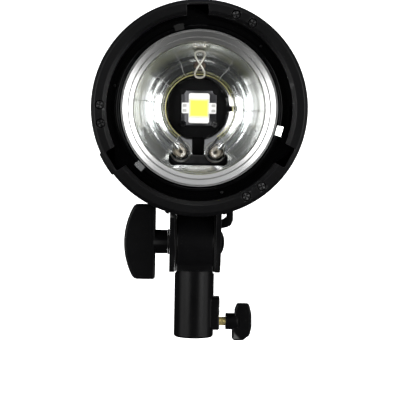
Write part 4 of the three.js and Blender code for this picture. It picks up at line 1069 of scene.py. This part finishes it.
class MONOLIGHT_OT_stand_adapter(bpy.types.Operator):
    """Builds the stand socket, friction washers, brass insert, lock screw and wing knob"""

    bl_idname = "monolight.stand_adapter"
    bl_label = "Stand adapter"

    def execute(self, context):
        top = PIVOT_Z
        sleeve = lathe(rounded([(0, 0), (12.4, 0, 1.4), (12.4, top - 1), (0, top - 1)], closed=False),
                       "Z", 128)
        sleeve = cut(sleeve, *[block(x, (-30, 30), (top - 19.6, top + 1))
                               for x in ((-30, -11.5), (11.5, 30))])
        barrel = lathe(rounded([(0, -11.6), (18.4, -11.6, 0.9), (18.4, 11.6, 0.9), (0, 11.6)],
                               closed=False), "X", 128)
        foot = block((-11.3, 11.3), (-12.7, 12.7), (-17.3, -6), edge=0.8, corner=1)
        body = join(sleeve, tilt(barrel), tilt(foot))
        boss = rounded([(-6.5, 4.7, 2.5), (6.5, 4.7, 2.5), (6.5, 25.5, 2.5), (-6.5, 25.5, 2.5)], 6)
        body = join(body, slab(boss, (9.5, 16.1), "X", edge=0.9))
        for z in (13.6, 18.4):
            body = combine(body, block((15.2, 17), (-8, 8), (z - 0.5, z + 0.5)))
        for tool in (lathe([(0, -1), (8.3, -1), (8.3, 40), (0, 40)], "Z", 96),
                     tilt(lathe([(0, -30), (4.3, -30), (4.3, 30), (0, 30)], "X", 48)),
                     moved(lathe([(0, 0), (3.3, 0), (3.3, 11), (4.7, 11), (4.7, 30), (0, 30)], "X", 48),
                           0, 0, LOCK_Z)):
            body = combine(body, tool)
        piece("stand_socket_fine", body, "powder", "adapter", "cast_black", "stand_socket", bevel=0.3)
        insert = lathe(rounded([(3.3, 11.2), (4.4, 11.2), (4.4, 15.9, 0.3), (3.3, 15.9, 0.2)]), "X", 48)
        piece("thread_insert_fine", moved(insert, 0, 0, LOCK_Z), "brass", "adapter", "brass", "thread_insert")
        for side, label in ((-1, "left"), (1, "right")):
            near, far = sorted((side * 11.7, side * 12.6))
            pad = lathe(rounded([(4.3, near), (18.8, near, 0.2), (18.8, far, 0.2), (4.3, far)]), "X", 96)
            piece(f"friction_washer_{label}_fine", tilt(pad), "rubber", "adapter", "rubber",
                  f"friction_washer_{label}")
        thread = [(0, 8.5), (2.2, 8.5), (2.9, 9.3)]
        for i in range(17):
            thread += [(2.95, 9.6 + i * 0.8), (2.6, 10.0 + i * 0.8)]
        rod = lathe(thread + [(2.95, 23.4), (2.95, 30), (0, 30)], "X", 48)
        piece("lock_screw_fine", moved(rod, 0, 0, LOCK_Z), "brass", "lock_screw", "brass", "lock_screw")
        wing = rounded([(24.2, -11.8, 2), (31.2, -11.8, 2.6), (35.4, -8.4, 3), (36.6, -3, 5), (36.4, 5, 5),
                        (34.8, 11.4, 2.2), (27.2, 11.4, 1.6), (25.7, 7.6, 2), (25.4, 1), (24.2, -5, 3)], 5)
        grip = slab(wing, (-3.6, 3.6), edge=1.1, steps=4)
        hub = lathe(rounded([(0, 20), (5.2, 20, 0.5), (5.2, 28, 1), (0, 28)], closed=False), "X", 72)
        knob = combine(join(grip, hub), lathe([(0, 0), (3.3, 0), (3.3, 30.3), (0, 30.3)], "X", 48))
        piece("lock_knob_fine", moved(knob, 0, 0, LOCK_Z), "grip", "lock_knob", "grip_black", "lock_knob")
        return {"FINISHED"}


class MONOLIGHT_OT_inner_parts(bpy.types.Operator):
    """Gives the parts inside the body their finishes"""

    bl_idname = "monolight.inner_parts"
    bl_label = "Inner parts"

    def execute(self, context):
        looks = {
            "main_board": "green", "display_module": "green", "capacitor_left": "blue",
            "capacitor_right": "blue", "trigger_coil": "amber", "charge_transformer": "steel",
            "dial_encoder": "steel", "fan_frame": "moulded", "fan_rotor": "moulded",
        }
        for node, look in looks.items():
            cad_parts[node].data.materials.clear()
            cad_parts[node].data.materials.append(finish(look))
        return {"FINISHED"}


def softbox(name, place, aim, size, power, tint=(1.0, 1.0, 1.0)):
    light = bpy.data.lights.new(name, "AREA")
    light.shape, light.size, light.size_y = "RECTANGLE", size[0], size[1]
    light.energy, light.color = power, tint
    made = bpy.data.objects.new(name, light)
    made.location = place
    made.rotation_mode = "QUATERNION"
    made.rotation_quaternion = (Vector(aim) - Vector(place)).to_track_quat("-Z", "Y")
    bpy.context.scene.collection.objects.link(made)


class MONOLIGHT_OT_stage(bpy.types.Operator):
    """Sets the camera, the lights and a pale floor that curves up into a backdrop"""

    bl_idname = "monolight.stage"
    bl_label = "Stage"

    def execute(self, context):
        scene = context.scene
        lens, sensor = 145.8, 36
        eye = Vector((-0.016, FACE_Y * MM - 0.93, AXIS_Z * MM))
        target = Vector((0, FACE_Y * MM, AXIS_Z * MM))
        # how far the head's middle stands from the frame's, as a share of the frame's width
        right, up = -0.0011, 0.2295
        spot = Vector((right, up, -lens / sensor)).normalized()
        data = bpy.data.cameras.new("Camera")
        data.lens, data.sensor_width = lens, sensor
        camera = bpy.data.objects.new("Camera", data)
        camera.location = eye
        camera.rotation_mode = "QUATERNION"
        ahead = (target - eye).to_track_quat("-Z", "Y") @ Quaternion((0, 0, 1), math.radians(1.0))
        camera.rotation_quaternion = ahead @ spot.rotation_difference(Vector((0, 0, -1)))
        scene.collection.objects.link(camera)
        scene.camera = camera

        floor, wall, bend = -0.95, 2.6, 0.35  # the wall stands beyond any view from behind
        run = [(-4.0, floor), (wall - bend, floor)]
        run += [(wall - bend + bend * math.sin(t), floor + bend - bend * math.cos(t))
                for t in [math.pi / 2 * i / 24 for i in range(1, 25)]] + [(wall, 3.2)]
        sweep = bpy.data.meshes.new("backdrop")
        points = [(x, y, z) for y, z in run for x in (-4.0, 4.0)]
        sweep.from_pydata(points, [], [(2 * i, 2 * i + 1, 2 * i + 3, 2 * i + 2) for i in range(len(run) - 1)])
        sweep.polygons.foreach_set("use_smooth", [True] * len(sweep.polygons))
        backdrop = bpy.data.objects.new("backdrop", sweep)
        material, graph, place, inputs = surface("Paper", Roughness=0.9, Emission_Strength=1.0)
        inputs["Emission Color"].default_value = (1, 1, 1, 1)
        paper = graph.noise(place, 60.0)
        shade = graph.mix(paper, rgba((0.84, 0.84, 0.84)), rgba((0.87, 0.87, 0.87)))
        feed(graph, inputs, "Base Color", shade)
        sweep.materials.append(material)
        scene.collection.objects.link(backdrop)
        backdrop.visible_glossy = False  # the pale sweep lights the blacks but doesn't wash them out
        backdrop.visible_transmission = False  # nor does it show in the bowl through the tube's glass

        world = bpy.data.worlds.new("Studio")
        world.use_nodes = True
        sky = Graph(world.node_tree)
        up = sky.add("ShaderNodeTexCoord", out="Generated")
        up = sky.add("ShaderNodeSeparateXYZ", inputs={0: up}, out="Z")
        shade = sky.mix(up.step(-0.1, 0.7), rgba((0.05, 0.05, 0.05)), rgba((0.5, 0.51, 0.53)))
        sky.tree.links.new(shade.socket, world.node_tree.nodes["Background"].inputs["Color"])
        world.node_tree.nodes["Background"].inputs["Strength"].default_value = 0.5
        scene.world = world
        scene.view_settings.view_transform = "Standard"
        middle = (0, 0, 0.1)
        softbox("key", (-1.15, -1.3, 0.35), middle, (0.9, 1.1), 17)
        softbox("fill", (1.2, -1.25, 0.3), middle, (0.8, 1.0), 18)
        softbox("left_card", (-1.6, -0.5, -0.1), middle, (0.7, 1.5), 7)
        softbox("right_card", (1.6, -0.5, -0.1), middle, (0.7, 1.5), 7)
        softbox("top", (0.1, -0.75, 1.45), middle, (0.7, 0.4), 6)
        return {"FINISHED"}


BUILDERS = (
    MONOLIGHT_OT_mount_ring,
    MONOLIGHT_OT_mount_base,
    MONOLIGHT_OT_reflector,
    MONOLIGHT_OT_flash_tube,
    MONOLIGHT_OT_modelling_lamp,
    MONOLIGHT_OT_shells,
    MONOLIGHT_OT_battery,
    MONOLIGHT_OT_controls,
    MONOLIGHT_OT_yoke,
    MONOLIGHT_OT_tilt_knob,
    MONOLIGHT_OT_stand_adapter,
    MONOLIGHT_OT_inner_parts,
    MONOLIGHT_OT_stage,
)


class MONOLIGHT_PT_panel(bpy.types.Panel):
    """Lists the strobe's sizes, colours and builders"""

    bl_idname = "MONOLIGHT_PT_panel"
    bl_label = "Monolight strobe"
    bl_space_type = "VIEW_3D"
    bl_region_type = "UI"
    bl_category = "Monolight"

    def draw(self, context):
        layout = self.layout
        for group in (context.scene.monolight_sizes, context.scene.monolight_colours):
            for name in group.bl_rna.properties.keys():
                if name not in {"rna_type", "name"}:
                    layout.prop(group, name)
        for builder in BUILDERS:
            layout.operator(builder.bl_idname)


CLASSES = (MonolightColours, MonolightSizes, *BUILDERS, MONOLIGHT_PT_panel)


def register():
    for cls in CLASSES:
        bpy.utils.register_class(cls)
    bpy.types.Scene.monolight_colours = PointerProperty(type=MonolightColours)
    bpy.types.Scene.monolight_sizes = PointerProperty(type=MonolightSizes)


def unregister():
    del bpy.types.Scene.monolight_sizes
    del bpy.types.Scene.monolight_colours
    for cls in reversed(CLASSES):
        bpy.utils.unregister_class(cls)


def main():
    register()
    for builder in BUILDERS:
        group, name = builder.bl_idname.split(".")
        getattr(getattr(bpy.ops, group), name)()


if __name__ == "__main__":
    main()
